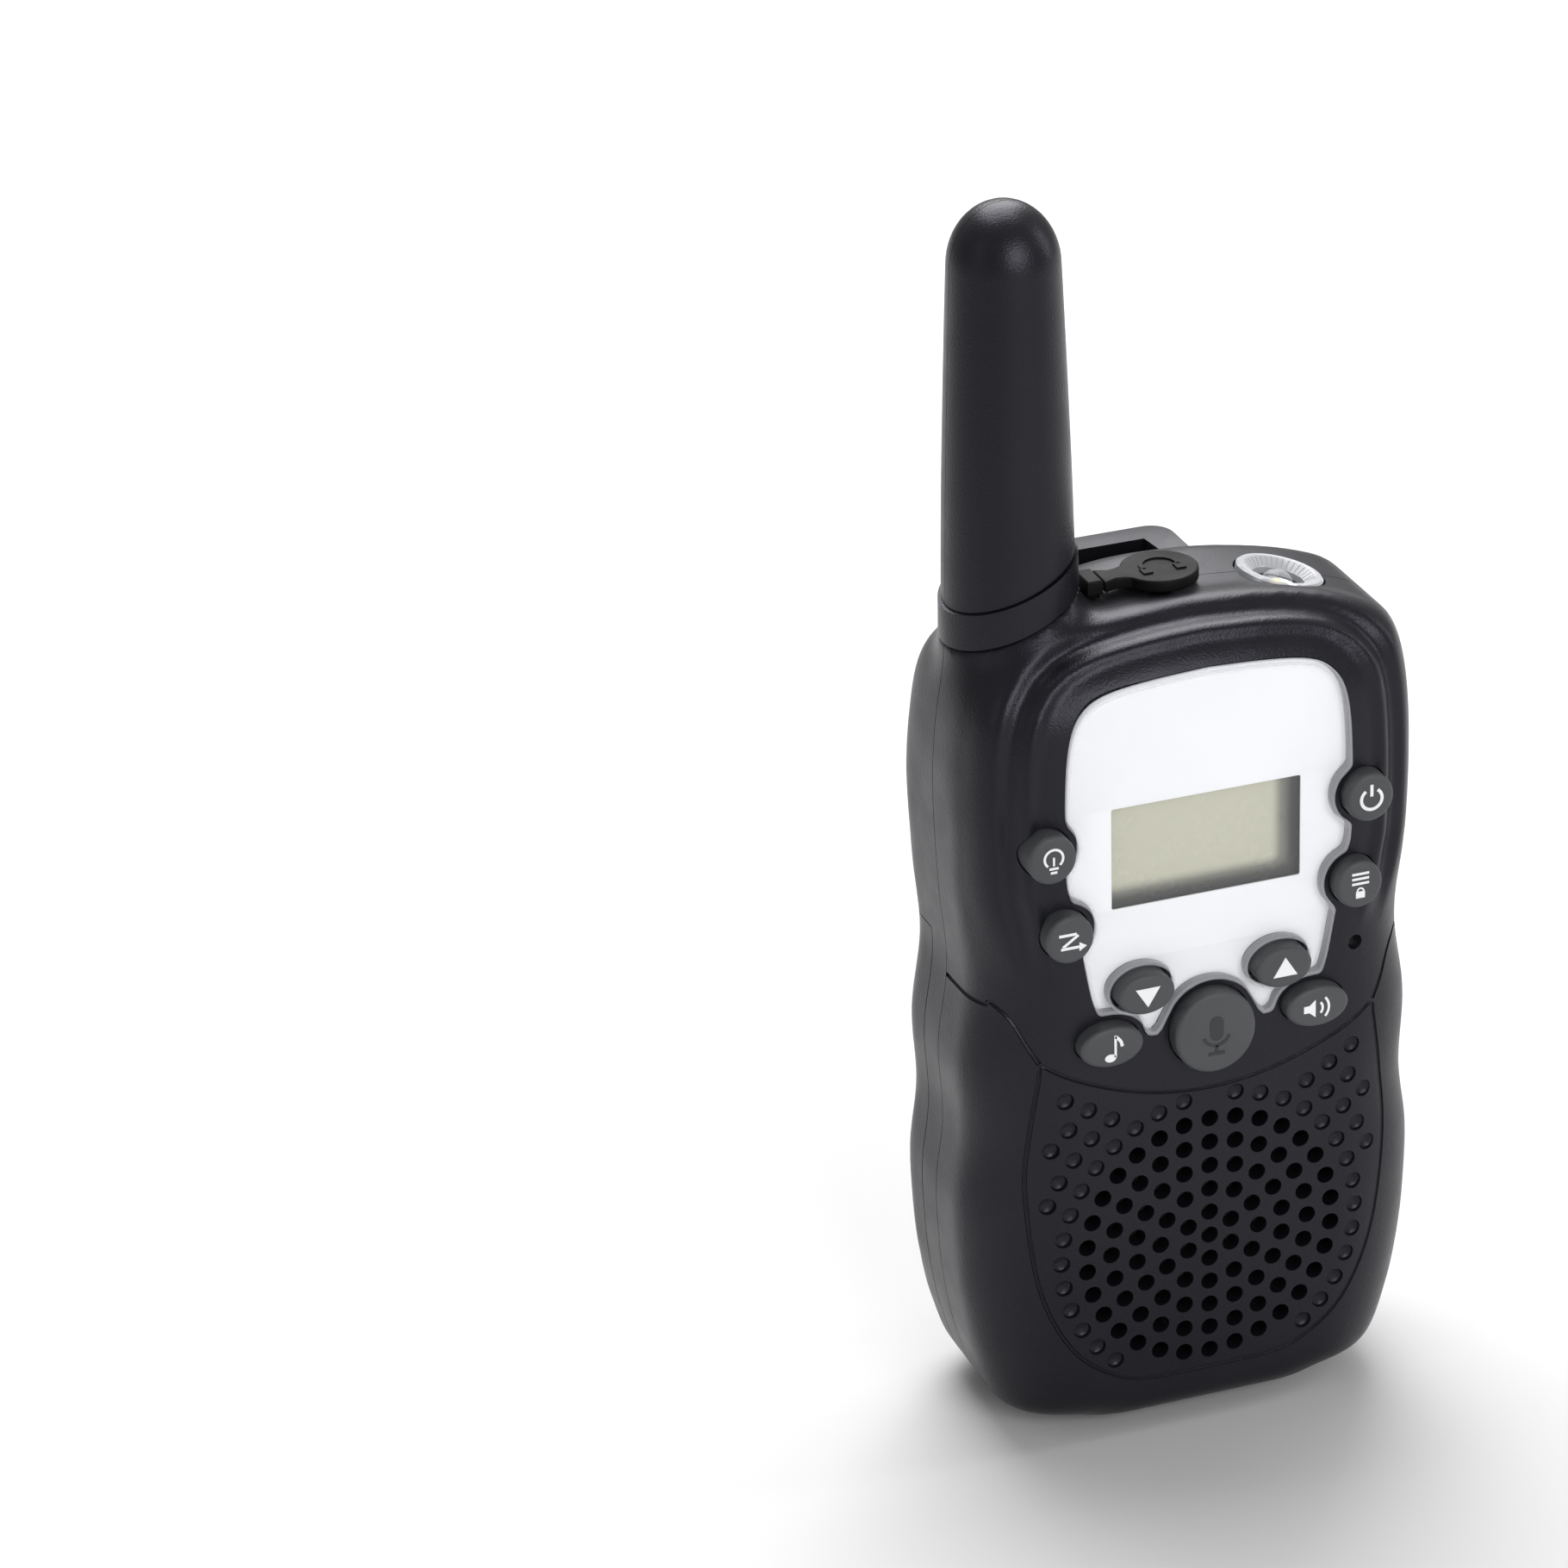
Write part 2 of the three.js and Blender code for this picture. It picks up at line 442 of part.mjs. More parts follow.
// ---- belt clip ----
function beltClip() {
  const { x, top, arm, legY, legBase, tongueY, seam, tip, tipX } = CLIP;
  const frame = box([-x, x], [legY[0], tongueY[1]], [top - arm, top])
    .add(box([-x, x], legY, [legBase, top]))
    .add(box([-x, x], tongueY, [seam + GAP, top]))
    .subtract(box([-5.2, 5.2], [legY[0] - 1, 17.5], [94.5, FAR]))
    .subtract(box([-3.3, 3.3], [legY[0] - 1, 14.5], [0, FAR]));
  add("belt_clip_base", frame, BLACK);
  const outline = [[x, seam], [x, 62], [tipX, tip + 3], [tipX - 1.5, tip], [1.5 - tipX, tip],
    [-tipX, tip + 3], [-x, 62], [-x, seam]];
  const tongue = plate(outline, tongueY).subtract(rod(0, 92.6, 2.7, 1.8, [0, FAR], 16));
  add("belt_clip_tongue", tongue, BLACK);
  const latch = box([-2.6, 2.6], [10.3, 11.6], [86.5, 98.6])
    .add(box([-2.6, 2.6], [10.3, 14], [96.6, 98.6]));
  add("clip_catch", latch, BLACK);
}

function label() {
  add("label_sticker", box([-LABEL.x, LABEL.x], [LABEL.floor + 0.1, LABEL.floor + 0.25], LABEL.z), WHITE);
}

// ---- batteries, contacts and screws ----
// The outer cells stand on their terminals, the inner ones on the springs.
function batteries() {
  const { radius, pitch, y, body, nub, low, high } = CELL;
  const profile = [[0, 0], [radius, 0], [radius, body], [1.9, body], [1.9, body + nub], [0, body + nub]];
  [-1.5, -0.5, 0.5, 1.5].forEach((place, i) => {
    const x = place * pitch;
    const inverted = Math.abs(place) > 1;
    const cell = turned(profile, 16);
    const base = inverted ? low + body + nub : high;
    add(`battery_${i + 1}`, cell.rotate([inverted ? 180 : 0, 0, 0]).translate([x, y, base]), CELL_WRAP);
    const spring = solid(wireAlong(new Helix(3.4, 1.5, 1.6, 2.5), 0.2, 22, 3));
    const start = inverted ? low + body + nub + GAP + 0.2 : low + 0.2;
    add(`contact_spring_${i + 1}`, spring.translate([x, y, start]), NICKEL);
  });
  const plateY = [4.2, 11];
  const lowerZ = [low - 0.6, low - 0.3];
  const upperZ = [high + body + nub + 0.3, high + body + nub + 0.6];
  add("contact_plate_lower_left", box([-18.5, -2], plateY, lowerZ), NICKEL);
  add("contact_plate_lower_right", box([2, 18.5], plateY, lowerZ), NICKEL);
  add("contact_plate_upper", box([-8.5, 8.5], plateY, upperZ), NICKEL);
  add("terminal_positive", box([12, 19.5], plateY, upperZ), NICKEL);
  add("terminal_negative", box([-19.5, -12], plateY, upperZ), NICKEL);
}

function screws() {
  [...upperScrews, ...lowerScrews].forEach(([x, z, y, radius], i) => {
    const head = rod(x, z, radius, radius, [y, y + radius * 0.5], 14)
      .subtract(box([x - 1.1, x + 1.1], [y + 0.4, FAR], [z - 0.25, z + 0.25]))
      .subtract(box([x - 0.25, x + 0.25], [y + 0.4, FAR], [z - 1.1, z + 1.1]));
    add(`screw_${i + 1}`, head.add(rod(x, z, 0.75, 0.75, [-7, y + 0.1], 8)), STEEL);
  });
}

frontShell();
rearShell();
batteryCover();
antenna();
display();
keypad();
circuit();
speaker();
torchAndJack();
beltClip();
label();
batteries();
screws();

walkieTalkie.position.z = -FOOT_Z;
export default walkieTalkie;
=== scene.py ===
"""Looks of a hand-held walkie talkie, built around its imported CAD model.

Shapes are made in millimetres in the CAD model's axes (+X right seen from the front, -Y front, +Z up)
and scaled to metres when a piece is placed.
"""
import math

import bpy
import numpy as np
from mathutils import Matrix, Vector
from mathutils.bvhtree import BVHTree


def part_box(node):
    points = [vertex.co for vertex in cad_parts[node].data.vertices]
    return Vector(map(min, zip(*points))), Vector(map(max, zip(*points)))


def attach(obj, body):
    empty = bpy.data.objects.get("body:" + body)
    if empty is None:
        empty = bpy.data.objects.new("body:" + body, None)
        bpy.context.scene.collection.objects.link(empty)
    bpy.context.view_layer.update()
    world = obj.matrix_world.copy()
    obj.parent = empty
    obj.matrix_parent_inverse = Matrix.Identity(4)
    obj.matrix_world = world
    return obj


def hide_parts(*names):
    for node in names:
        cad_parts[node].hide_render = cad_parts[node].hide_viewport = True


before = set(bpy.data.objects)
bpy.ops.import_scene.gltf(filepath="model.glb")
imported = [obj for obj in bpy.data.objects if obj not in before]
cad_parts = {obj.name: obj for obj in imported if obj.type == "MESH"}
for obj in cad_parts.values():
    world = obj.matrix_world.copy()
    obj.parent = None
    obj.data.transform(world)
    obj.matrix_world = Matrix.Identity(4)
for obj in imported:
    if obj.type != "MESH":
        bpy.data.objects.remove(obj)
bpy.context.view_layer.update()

MM = 0.001
FAR = 200.0  # past every surface
LIFT = 4.4  # the floor lies this far below the datum that every height below is measured from

# ---- camera ----
CAMERA_PLACE = (-0.2526, -0.5955, 0.3904)
CAMERA_AZIMUTH, CAMERA_ELEVATION, CAMERA_ROLL = -19.0, 25.57, -1.88
CAMERA_LENS = 138.5


def node_box(name):
    """Lowest and highest corner of a CAD node, in millimetres."""
    low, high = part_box(name)
    return np.array(low) / MM - (0, 0, LIFT), np.array(high) / MM - (0, 0, LIFT)


def node_centre(name):
    low, high = node_box(name)
    return (low + high) / 2


# ---- driving sizes, in millimetres ----
BODY_TOP = 101.6
HALF_WIDTH = 29.4
FRONT_Y, REAR_Y = node_box("front_shell")[0][1], node_box("rear_shell")[1][1]
SEAM, SEAM_GAP = 1.0, 0.12  # the halves' parting plane and the line it shows
JOINT_GAP = 0.08
WALL, FRONT_WALL, REAR_WALL, COVER_WALL = 2.2, 2.5, 1.9, 1.6
WAIST = 50.0  # the edges' base shape fades into their top shape at this height
EDGE_THINNING = 0.6  # an inner form's edges lose this share of its inset in depth
AHEAD = -20.0  # in front of everything
FRONT_EDGE = {"side": 12, "top": 8, "base": 4.5, "depth": 9.5}
REAR_EDGE = {"side": 7, "top": 9, "base": 4, "depth": 6}
OUTLINE = [
    (0, -3.95), (8, -3.95), (13, -3.9), (17, -3.2), (24, -1), (27.1, 6), (28.7, 14), (29.3, 21),
    (29.4, 28), (28.4, 36.5), (28.8, 46.4), (27.5, 56.7), (28.3, 66.8), (28.8, 77.6), (28.6, 86.5),
    (27.5, 93.5), (25.4, 96.6), (21.1, 98.5), (15.4, 100), (8, 101.2), (0, BODY_TOP),
]
LENS = [
    (0, 96.4), (7, 96), (12.6, 95.2), (15.6, 93.6), (17.3, 90.2), (18, 83.5), (18, 72.5), (17.4, 69.4),
    (16, 61.8), (14.6, 55), (12.6, 52.2), (9, 50.6), (5.5, 50.3), (0, 50.3),
]
LENS_MIDDLE = (0.0, 74.0)
LENS_LOW, LENS_HIGH = node_box("display_lens")
RECESS_Y = LENS_HIGH[1] + 0.4
WINDOW, WINDOW_PLAY = {"x": 12.0, "z": 73.7, "half": 6.5}, 0.4
MIC_HOLE = 0.95
RIMS = [(0.7, 3.3, 4.1), (-1.0, 4.3, 6.6), (0.95, 6.8, 8.0), (-0.65, 8.4, 12.5)]  # rise, from, to
RIM_FADE = (58, 68)  # heights between which the rims grow out of the face
GRILLE = {"z": node_centre("speaker_frame")[2], "pitch": 3.2, "open": 5, "rings": 9, "hole": 1.1,
          "margin": 1.5}
GRILLE_EDGE = [(-21.3, 48.6), (-22.6, 40), (-23.3, 31), (-21.7, 18), (-17.6, 9), (-11.5, 4.2), (-6, 3.2)]
GRILLE_TOP_SAG = 41.8
SIDE_GROOVE = [(26.0, 56.1), (24.3, 54.4), (22.7, 51.1), (21.5, 48.9)]
GROOVE_START, GROOVE_WAVE, GROOVE_TURN = 55.4, 0.5, 0.66  # height, rise and turn round the flank
NECK = {"x": node_centre("antenna_front_half")[0], "radius": 8.3, "slope": 0.375,
        "seam": 101.6, "joint": 106.1, "bore": 3.2}
FILLET = {"inner": 12, "outer": 19, "low": 78, "full": 88, "rounds": 70}
ANTENNA_TIP = node_box("antenna_front_half")[1][2]
COVER_TOP, COVER_Y = 59.5, 5.7
BAY = {"mouth": 20.8, "half": 21.4, "floor": 2.6, "low": 7.3, "high": 55.9, "rim": 11.5,
       "wall": 1.0, "end": 1.6, "roof": 63.2}
SCREW = {"x": 22, "z": 84.5, "boss": 3.4, "well": 2.3, "floor": 3.0, "shank": 1.1}
POCKET = {"half": 8.0, "slot": 9.9, "y": (11.8, 13.8), "low": 77.5, "deck": BODY_TOP - 5.2}
JACK = {"x": 0.0, "socket": 3.5, "pin": 1.45}
STRAP = 2.0  # half the width of the headphone cover's strap
TORCH = {"x": 15.4, "z": BODY_TOP - 1.5, "tilt": math.radians(14), "ring": 5.3, "well": 3.1}
KEYS = ("key_lamp key_power key_scan key_menu key_down key_up key_melody "
        "key_monitor key_talk").split()
LENS_KEYS = ("key_down", "key_up")  # these two stand in holes of the lens
KEY_FLANGE, KEY_SWELL, KEY_MARGIN, KEY_PLAY = 0.6, 0.12, 1.0, 0.3
KEY_ROOT, KEY_STEM = (-11.2, -10.05), 1.2
SYMBOL_SCALE = 1.15


# ---- forms: a closed surface as (points, faces) ----
def outward(points, faces):
    """The same closed surface with its faces turned outwards."""
    points = np.asarray(points, float)
    volume = 0.0
    for face in faces:
        a = points[face[0]]
        for i in range(1, len(face) - 1):
            volume += a @ np.cross(points[face[i]], points[face[i + 1]])
    if volume < 0:
        faces = [tuple(reversed(f)) for f in faces]
    return points, faces


def stacked(rings, closed=False):
    """Surface through rings of equally many points, with flat ends, or closed on itself."""
    rings = [np.asarray(r, float) for r in rings]
    count, size = len(rings), len(rings[0])
    faces = []
    for i in range(count if closed else count - 1):
        for j in range(size):
            a, b = i * size, (i + 1) % count * size
            k = (j + 1) % size
            faces.append((a + j, a + k, b + k, b + j))
    if not closed:
        faces.append(tuple(reversed(range(size))))
        faces.append(tuple(range((count - 1) * size, count * size)))
    return outward(np.concatenate(rings), faces)


def joined(forms):
    points, faces, base = [], [], 0
    for form_points, form_faces in forms:
        points.append(form_points)
        faces += [tuple(base + i for i in f) for f in form_faces]
        base += len(form_points)
    return np.concatenate(points), faces


def prism(outline, y):
    """Plate of an X-Z outline between two depths."""
    return stacked([[(a, h, b) for a, b in outline] for h in y])


def level_prism(outline, z):
    """Plate of an X-Y outline between two heights."""
    return stacked([[(a, b, h) for a, b in outline] for h in z])


def block(x, y, z):
    return level_prism([(x[0], y[0]), (x[1], y[0]), (x[1], y[1]), (x[0], y[1])], z)


def slab(y, z=(-FAR, FAR)):
    return block((-FAR, FAR), y, z)


def circle(count, turn=0.0):
    angles = 2 * math.pi * (np.arange(count) + turn) / count
    return np.cos(angles), np.sin(angles)


def ellipse(x, z, rx, rz, count=48):
    c, s = circle(count)
    return np.stack([x + rx * c, z + rz * s], 1)


def rod(x, z, rx, rz, y, count=32):
    """Elliptical rod along Y."""
    return prism(ellipse(x, z, rx, rz, count), y)


def bore(x, z, radius, y, count=32):
    return rod(x, z, radius, radius, y, count)


def post(x, y, radius, z, count=48):
    """Round rod along Z."""
    return level_prism(ellipse(x, y, radius, radius, count), z)


def turned(profile, count=64, x=0.0, y=0.0):
    """Turned piece about Z of (radius, height) points, both ends on the axis, or a closed ring."""
    c, s = circle(count)
    on_axis = profile[0][0] == 0
    body = profile[1:-1] if on_axis else profile
    rings = [np.stack([x + r * c, y + r * s, np.full(count, h)], 1) for r, h in body]
    if not on_axis:
        return stacked(rings, closed=True)
    points, faces = stacked(rings)
    faces = [f for f in faces if len(f) == 4]
    first, last = len(points), len(points) + 1
    points = np.concatenate([points, [(x, y, profile[0][1]), (x, y, profile[-1][1])]])
    base = (len(rings) - 1) * count
    probe = faces[0]
    ahead = probe[1] == (probe[0] + 1) % count
    for j in range(count):
        k = (j + 1) % count
        low, high = (first, k, j), (last, base + j, base + k)
        faces += [low, high] if ahead else [low[::-1], high[::-1]]
    return outward(points, faces)


def facing(profile, x, z, rx, rz, count=64):
    """Turned piece about Y: (share of the radius, y) points, first and last on the axis."""
    points, faces = turned([(r, -y) for r, y in profile], count)
    points = np.stack([x + rx * points[:, 0], -points[:, 2], z + rz * points[:, 1]], 1)
    return outward(points, faces)


def tube(path, radius, count=8, closed=False):
    """Tube along a path, its section kept level with the path's own plane as it turns."""
    path = np.asarray(path, float)
    ahead = np.roll(path, -1, 0) - np.roll(path, 1, 0)
    if not closed:
        ahead[0], ahead[-1] = path[1] - path[0], path[-1] - path[-2]
    ahead /= np.linalg.norm(ahead, axis=1)[:, None]
    side = np.cross(ahead[0], (0, 1, 0))
    if np.linalg.norm(side) < 0.1:
        side = np.cross(ahead[0], (0, 0, 1))
    c, s = circle(count, 0.5)
    rings = []
    for point, direction in zip(path, ahead):
        side = side - direction * (side @ direction)
        side /= np.linalg.norm(side)
        other = np.cross(direction, side)
        rings.append(point + radius * (c[:, None] * side + s[:, None] * other))
    return stacked(rings, closed)


def curve(points, count, closed=False):
    """Catmull-Rom curve through points, as `count` points evenly spaced along it."""
    p = np.asarray(points, float)
    padded = np.concatenate([p[-1:], p, p[:2]]) if closed else np.concatenate([p[:1], p, p[-1:]])
    dense = []
    for a, b, c, d in zip(padded, padded[1:], padded[2:], padded[3:]):
        t = np.linspace(0, 1, 40, endpoint=False)[:, None]
        dense.append(0.5 * (2 * b + (c - a) * t + (2 * a - 5 * b + 4 * c - d) * t ** 2
                            + (3 * b - a - 3 * c + d) * t ** 3))
    dense = np.concatenate(dense + [padded[-2:-1]])
    length = np.concatenate([[0], np.cumsum(np.linalg.norm(np.diff(dense, axis=0), axis=1))])
    wanted = np.linspace(0, length[-1], count, endpoint=not closed)
    return np.stack([np.interp(wanted, length, dense[:, k]) for k in range(p.shape[1])], 1)


def both_sides(half):
    """Half outline from (0, low) to (0, high), or the reverse, completed by its mirror image."""
    half = np.asarray(half, float)
    return np.concatenate([half, half[-2:0:-1] * (-1, 1)])


def step(low, high, value):
    t = np.clip((value - low) / (high - low), 0, 1)
    return t * t * (3 - 2 * t)


# ---- objects ----
def add_object(name, data):
    holder = bpy.data.objects.new(name, data)
    bpy.context.scene.collection.objects.link(holder)
    return holder


def make_object(name, form):
    points, faces = form
    mesh = bpy.data.meshes.new(name)
    mesh.from_pydata([tuple(p) for p in points], [], [tuple(f) for f in faces])
    mesh.update()
    return add_object(name, mesh)


def evaluated_mesh(holder):
    graph = bpy.context.evaluated_depsgraph_get()
    return bpy.data.meshes.new_from_object(holder.evaluated_get(graph))


def apply_modifier(piece, kind, **settings):
    modifier = piece.modifiers.new("work", kind)
    for key, value in settings.items():
        setattr(modifier, key, value)
    mesh = evaluated_mesh(piece)
    piece.modifiers.clear()
    old, piece.data = piece.data, mesh
    bpy.data.meshes.remove(old)


def combine(piece, form, operation):
    """Combines a piece with a form, or with an object, which is used up."""
    other = form if isinstance(form, bpy.types.Object) else make_object("cutter", form)
    apply_modifier(piece, "BOOLEAN", operation=operation, object=other, solver="MANIFOLD")
    mesh = other.data
    bpy.data.objects.remove(other)
    bpy.data.meshes.remove(mesh)


def cut(piece, *forms):
    for form in forms:
        combine(piece, form, "DIFFERENCE")


def grow(piece, *forms):
    for form in forms:
        combine(piece, form, "UNION")


def keep(piece, form):
    combine(piece, form, "INTERSECT")


def copy_of(piece, name):
    return add_object(name, piece.data.copy())


def read_points(piece):
    points = np.empty(len(piece.data.vertices) * 3, np.float32)
    piece.data.vertices.foreach_get("co", points)
    return points.reshape(-1, 3).astype(float)


def write_points(piece, points):
    piece.data.vertices.foreach_set("co", points.astype(np.float32).ravel())
    piece.data.update()


def relax(piece, weight, rounds):
    """Moves each point towards the middle of its neighbours, by its weight."""
    edges = np.empty(len(piece.data.edges) * 2, np.int32)
    piece.data.edges.foreach_get("vertices", edges)
    a, b = edges.reshape(-1, 2).T
    points = read_points(piece)
    count = np.bincount(a, minlength=len(points)) + np.bincount(b, minlength=len(points))
    for _ in range(rounds):
        total = np.stack([np.bincount(a, points[b, k], len(points))
                          + np.bincount(b, points[a, k], len(points)) for k in range(3)], 1)
        points += weight[:, None] * (total / count[:, None] - points)
    write_points(piece, points)


def place(piece, body, material, replaces=(), crease=35.0):
    """Scales a finished piece to metres, gives it its material and lets it ride on its body."""
    piece.data.transform(Matrix.Translation((0, 0, LIFT * MM)) @ Matrix.Scale(MM, 4))
    piece.data.shade_smooth()
    piece.data.set_sharp_from_angle(angle=math.radians(crease))
    piece.data.materials.clear()
    piece.data.materials.append(material)
    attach(piece, body)
    if replaces:
        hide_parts(*replaces)
    return piece


# ---- materials ----
class Paint:
    """A Principled material and the nodes that feed it. Extra sockets are set by name."""

    def __init__(self, name, color, roughness, **sockets):
        self.material = bpy.data.materials.new(name)
        self.material.use_nodes = True
        self.nodes, self.links = self.material.node_tree.nodes, self.material.node_tree.links
        self.shader = self.nodes["Principled BSDF"]
        self.fill(self.shader, Base_Color=(*color, 1), Roughness=roughness, **sockets)

    def fill(self, node, **sockets):
        """Links each of a node's sockets, or gives it its value."""
        for key, value in sockets.items():
            socket = node.inputs[key.replace("_", " ")]
            if isinstance(value, bpy.types.NodeSocket):
                self.links.new(value, socket)
            else:
                socket.default_value = value
        return node.outputs

    def add(self, kind, **sockets):
        """Outputs of a new node."""
        return self.fill(self.nodes.new("ShaderNode" + kind), **sockets)

    def feed(self, source, socket):
        self.links.new(source, self.shader.inputs[socket])

    def axes(self, output):
        """The piece's own coordinates as three sockets."""
        return self.add("SeparateXYZ", Vector=self.add("TexCoord")[output])

    def noise(self, scale, detail=3.0, stretch=(1, 1, 1)):
        """Noise in the piece's own coordinates; scale counts cells per metre."""
        stretched = self.add("Mapping", Vector=self.add("TexCoord")["Object"], Scale=stretch)
        return self.add("TexNoise", Vector=stretched["Vector"], Scale=scale, Detail=detail)["Fac"]

    def ramp(self, source, stops):
        node = self.nodes.new("ShaderNodeValToRGB")
        while len(node.color_ramp.elements) < len(stops):
            node.color_ramp.elements.new(0.5)
        for element, (position, color) in zip(node.color_ramp.elements, stops):
            element.position = position
            element.color = (*color, 1)
        self.links.new(source, node.inputs["Fac"])
        return node.outputs["Color"]

    def clouded(self, source, low, high, socket):
        """Feeds a socket from `low` to `high`, colours or plain numbers, as the noise rises."""
        if not isinstance(low, tuple):
            low, high = grey(low), grey(high)
        self.feed(self.ramp(source, [(0.3, low), (0.7, high)]), socket)

    def calculate(self, operation, *sources, clamp=False):
        """Math node of numbers and sockets."""
        node = self.nodes.new("ShaderNodeMath")
        node.operation = operation
        node.use_clamp = clamp
        for socket, source in zip(node.inputs, sources):
            if isinstance(source, float):
                socket.default_value = source
            else:
                self.links.new(source, socket)
        return node.outputs["Value"]

    def grain(self, source, strength):
        bump = self.add("Bump", Strength=strength, Distance=GRAIN_DEPTH, Height=source)
        self.feed(bump["Normal"], "Normal")


GRAIN_DEPTH = 0.06 * MM
PLASTIC_IOR = 1.49


def grey(value):
    return (value, value, value)


def textured(name, colors, rough, grain_scale, grain, cloud_scale=60.0, stretch=(1, 1, 1), **sockets):
    """Material with clouded colour and roughness and a fine grain in relief."""
    paint = Paint(name, colors[0], rough[0], **sockets)
    paint.clouded(paint.noise(cloud_scale, 4, stretch), *colors, "Base Color")
    paint.clouded(paint.noise(cloud_scale * 3, 3, stretch), *rough, "Roughness")
    paint.grain(paint.noise(grain_scale, 2, stretch), grain)
    return paint.material


BLACK = ((0.0066, 0.0064, 0.0084), (0.0082, 0.0080, 0.0102))
SHEEN = {"Specular_IOR_Level": 0.29, "Specular_Tint": (0.86, 0.85, 1.0, 1.0)}
SHELL = textured("shell_plastic", BLACK, (0.31, 0.39), 3600, 0.7, **SHEEN)
CLIP_PLASTIC = textured("clip_plastic", BLACK, (0.33, 0.42), 4200, 0.4, **SHEEN)
RUBBER = textured("soft_rubber", ((0.0045, 0.0045, 0.0050), (0.0065, 0.0065, 0.0072)), (0.5, 0.62),
                  5200, 0.5, Specular_IOR_Level=0.12)
KEY_RUBBER = textured("key_rubber", ((0.055, 0.059, 0.063), (0.066, 0.070, 0.074)), (0.48, 0.58),
                      5600, 0.4, Specular_IOR_Level=0.35)
LEGEND = textured("legend_print", ((0.78, 0.79, 0.80), (0.86, 0.87, 0.88)), (0.5, 0.6), 6000, 0.2)
EMBOSS = textured("key_emboss", ((0.018, 0.019, 0.020), (0.024, 0.025, 0.026)), (0.5, 0.6), 5600, 0.3)
SILVER = textured("silver_print", ((0.88, 0.89, 0.92), (0.92, 0.93, 0.95)), (0.32, 0.40), 5200, 0.15)
WHITE = textured("white_plastic", ((0.74, 0.74, 0.73), (0.82, 0.82, 0.81)), (0.45, 0.55), 3500, 0.3)
CIRCUIT = textured("circuit_resist", ((0.006, 0.065, 0.022), (0.012, 0.105, 0.035)), (0.28, 0.4),
                   2600, 0.4, 900)
CHIP = textured("chip_plastic", ((0.012, 0.012, 0.013), (0.020, 0.020, 0.021)), (0.5, 0.6), 5200, 0.5)
STEEL = textured("plain_steel", ((0.36, 0.37, 0.38), (0.50, 0.51, 0.52)), (0.28, 0.42), 2600, 0.3, 120,
                 (1, 1, 8), Metallic=1.0)
NICKEL = textured("nickel_plate", ((0.52, 0.51, 0.47), (0.64, 0.63, 0.59)), (0.18, 0.3), 2600, 0.2, 200,
                  Metallic=1.0)
COPPER = textured("copper_wire", ((0.52, 0.20, 0.09), (0.66, 0.28, 0.13)), (0.22, 0.36), 2600, 0.3, 300,
                  Metallic=1.0)
PAPER = textured("cone_paper", ((0.030, 0.027, 0.024), (0.050, 0.046, 0.040)), (0.8, 0.9), 3600, 1.0, 300)
FERRITE = textured("ferrite", ((0.030, 0.030, 0.032), (0.055, 0.055, 0.058)), (0.6, 0.75), 2200, 0.8, 300)
LABEL = textured("label_paper", ((0.80, 0.80, 0.79), (0.86, 0.86, 0.85)), (0.42, 0.5), 5200, 0.2)
LABEL_INK = textured("label_ink", ((0.03, 0.03, 0.032), (0.05, 0.05, 0.052)), (0.45, 0.55), 5200, 0.2)
EMITTER = textured("lamp_phosphor", ((0.80, 0.62, 0.12), (0.90, 0.75, 0.25)), (0.4, 0.5), 3000, 0.2)


def clear_plastic(name, tint, roughness, body):
    """Clear moulding. `body` is the least share of its outer surface that doesn't let light through."""
    paint = Paint(name, tint, roughness, IOR=PLASTIC_IOR)
    paint.clouded(paint.noise(700, 2), roughness, roughness * 1.8, "Roughness")
    share = paint.calculate("ADD", paint.add("Fresnel", IOR=PLASTIC_IOR)["Fac"], body, clamp=True)
    outside = paint.calculate("SUBTRACT", 1.0, paint.add("NewGeometry")["Backfacing"])
    mix = paint.nodes.new("ShaderNodeMixShader")
    paint.fill(mix, Fac=paint.calculate("MULTIPLY", share, outside))
    paint.links.new(paint.add("BsdfTransparent")["BSDF"], mix.inputs[1])
    paint.links.new(paint.shader.outputs["BSDF"], mix.inputs[2])
    paint.fill(paint.nodes["Material Output"], Surface=mix.outputs["Shader"])
    return paint.material


LENS_CLEAR = clear_plastic("lens_clear", (0.9, 0.91, 0.93), 0.04, 0.05)
LENS_RIM = clear_plastic("lens_rim_clear", (0.72, 0.73, 0.77), 0.05, 0.30)
LAMP_CLEAR = clear_plastic("lamp_clear", (0.60, 0.61, 0.64), 0.08, 0.18)
LAMP_RING = clear_plastic("lamp_ring_clear", (0.60, 0.61, 0.64), 0.10, 0.55)


def lcd_material():
    """Reflective display: a greenish beige field, with painted shade along its right and its lower edge.
    """
    paint = Paint("lcd", (0.5, 0.5, 0.4), 0.22)
    x, _, z = paint.axes("Object")

    def fade(source, start, end):
        spread = paint.nodes.new("ShaderNodeMapRange")
        spread.interpolation_type = "SMOOTHSTEP"
        return paint.fill(spread, Value=source, From_Min=start * MM, From_Max=end * MM)["Result"]

    # painted shade: darker bands along the window's right and lower edge stand in for the shadow of the
    # mask's rim on the recessed display
    low = WINDOW["z"] - WINDOW["half"] + LIFT
    shade = paint.calculate("MULTIPLY", fade(x, WINDOW["x"] - 0.2, WINDOW["x"] - 3.2),
                            fade(z, low - 0.4, low + 2.6))
    # dark and dim are the painted shade's colours; field is the display's own colour
    dark, dim, field = (0.055, 0.056, 0.050), (0.20, 0.20, 0.165), (0.55, 0.545, 0.43)
    paint.feed(paint.ramp(shade, [(0.0, dark), (0.55, dim), (1.0, field)]), "Base Color")
    paint.clouded(paint.noise(400, 2), 0.2, 0.3, "Roughness")
    return paint.material


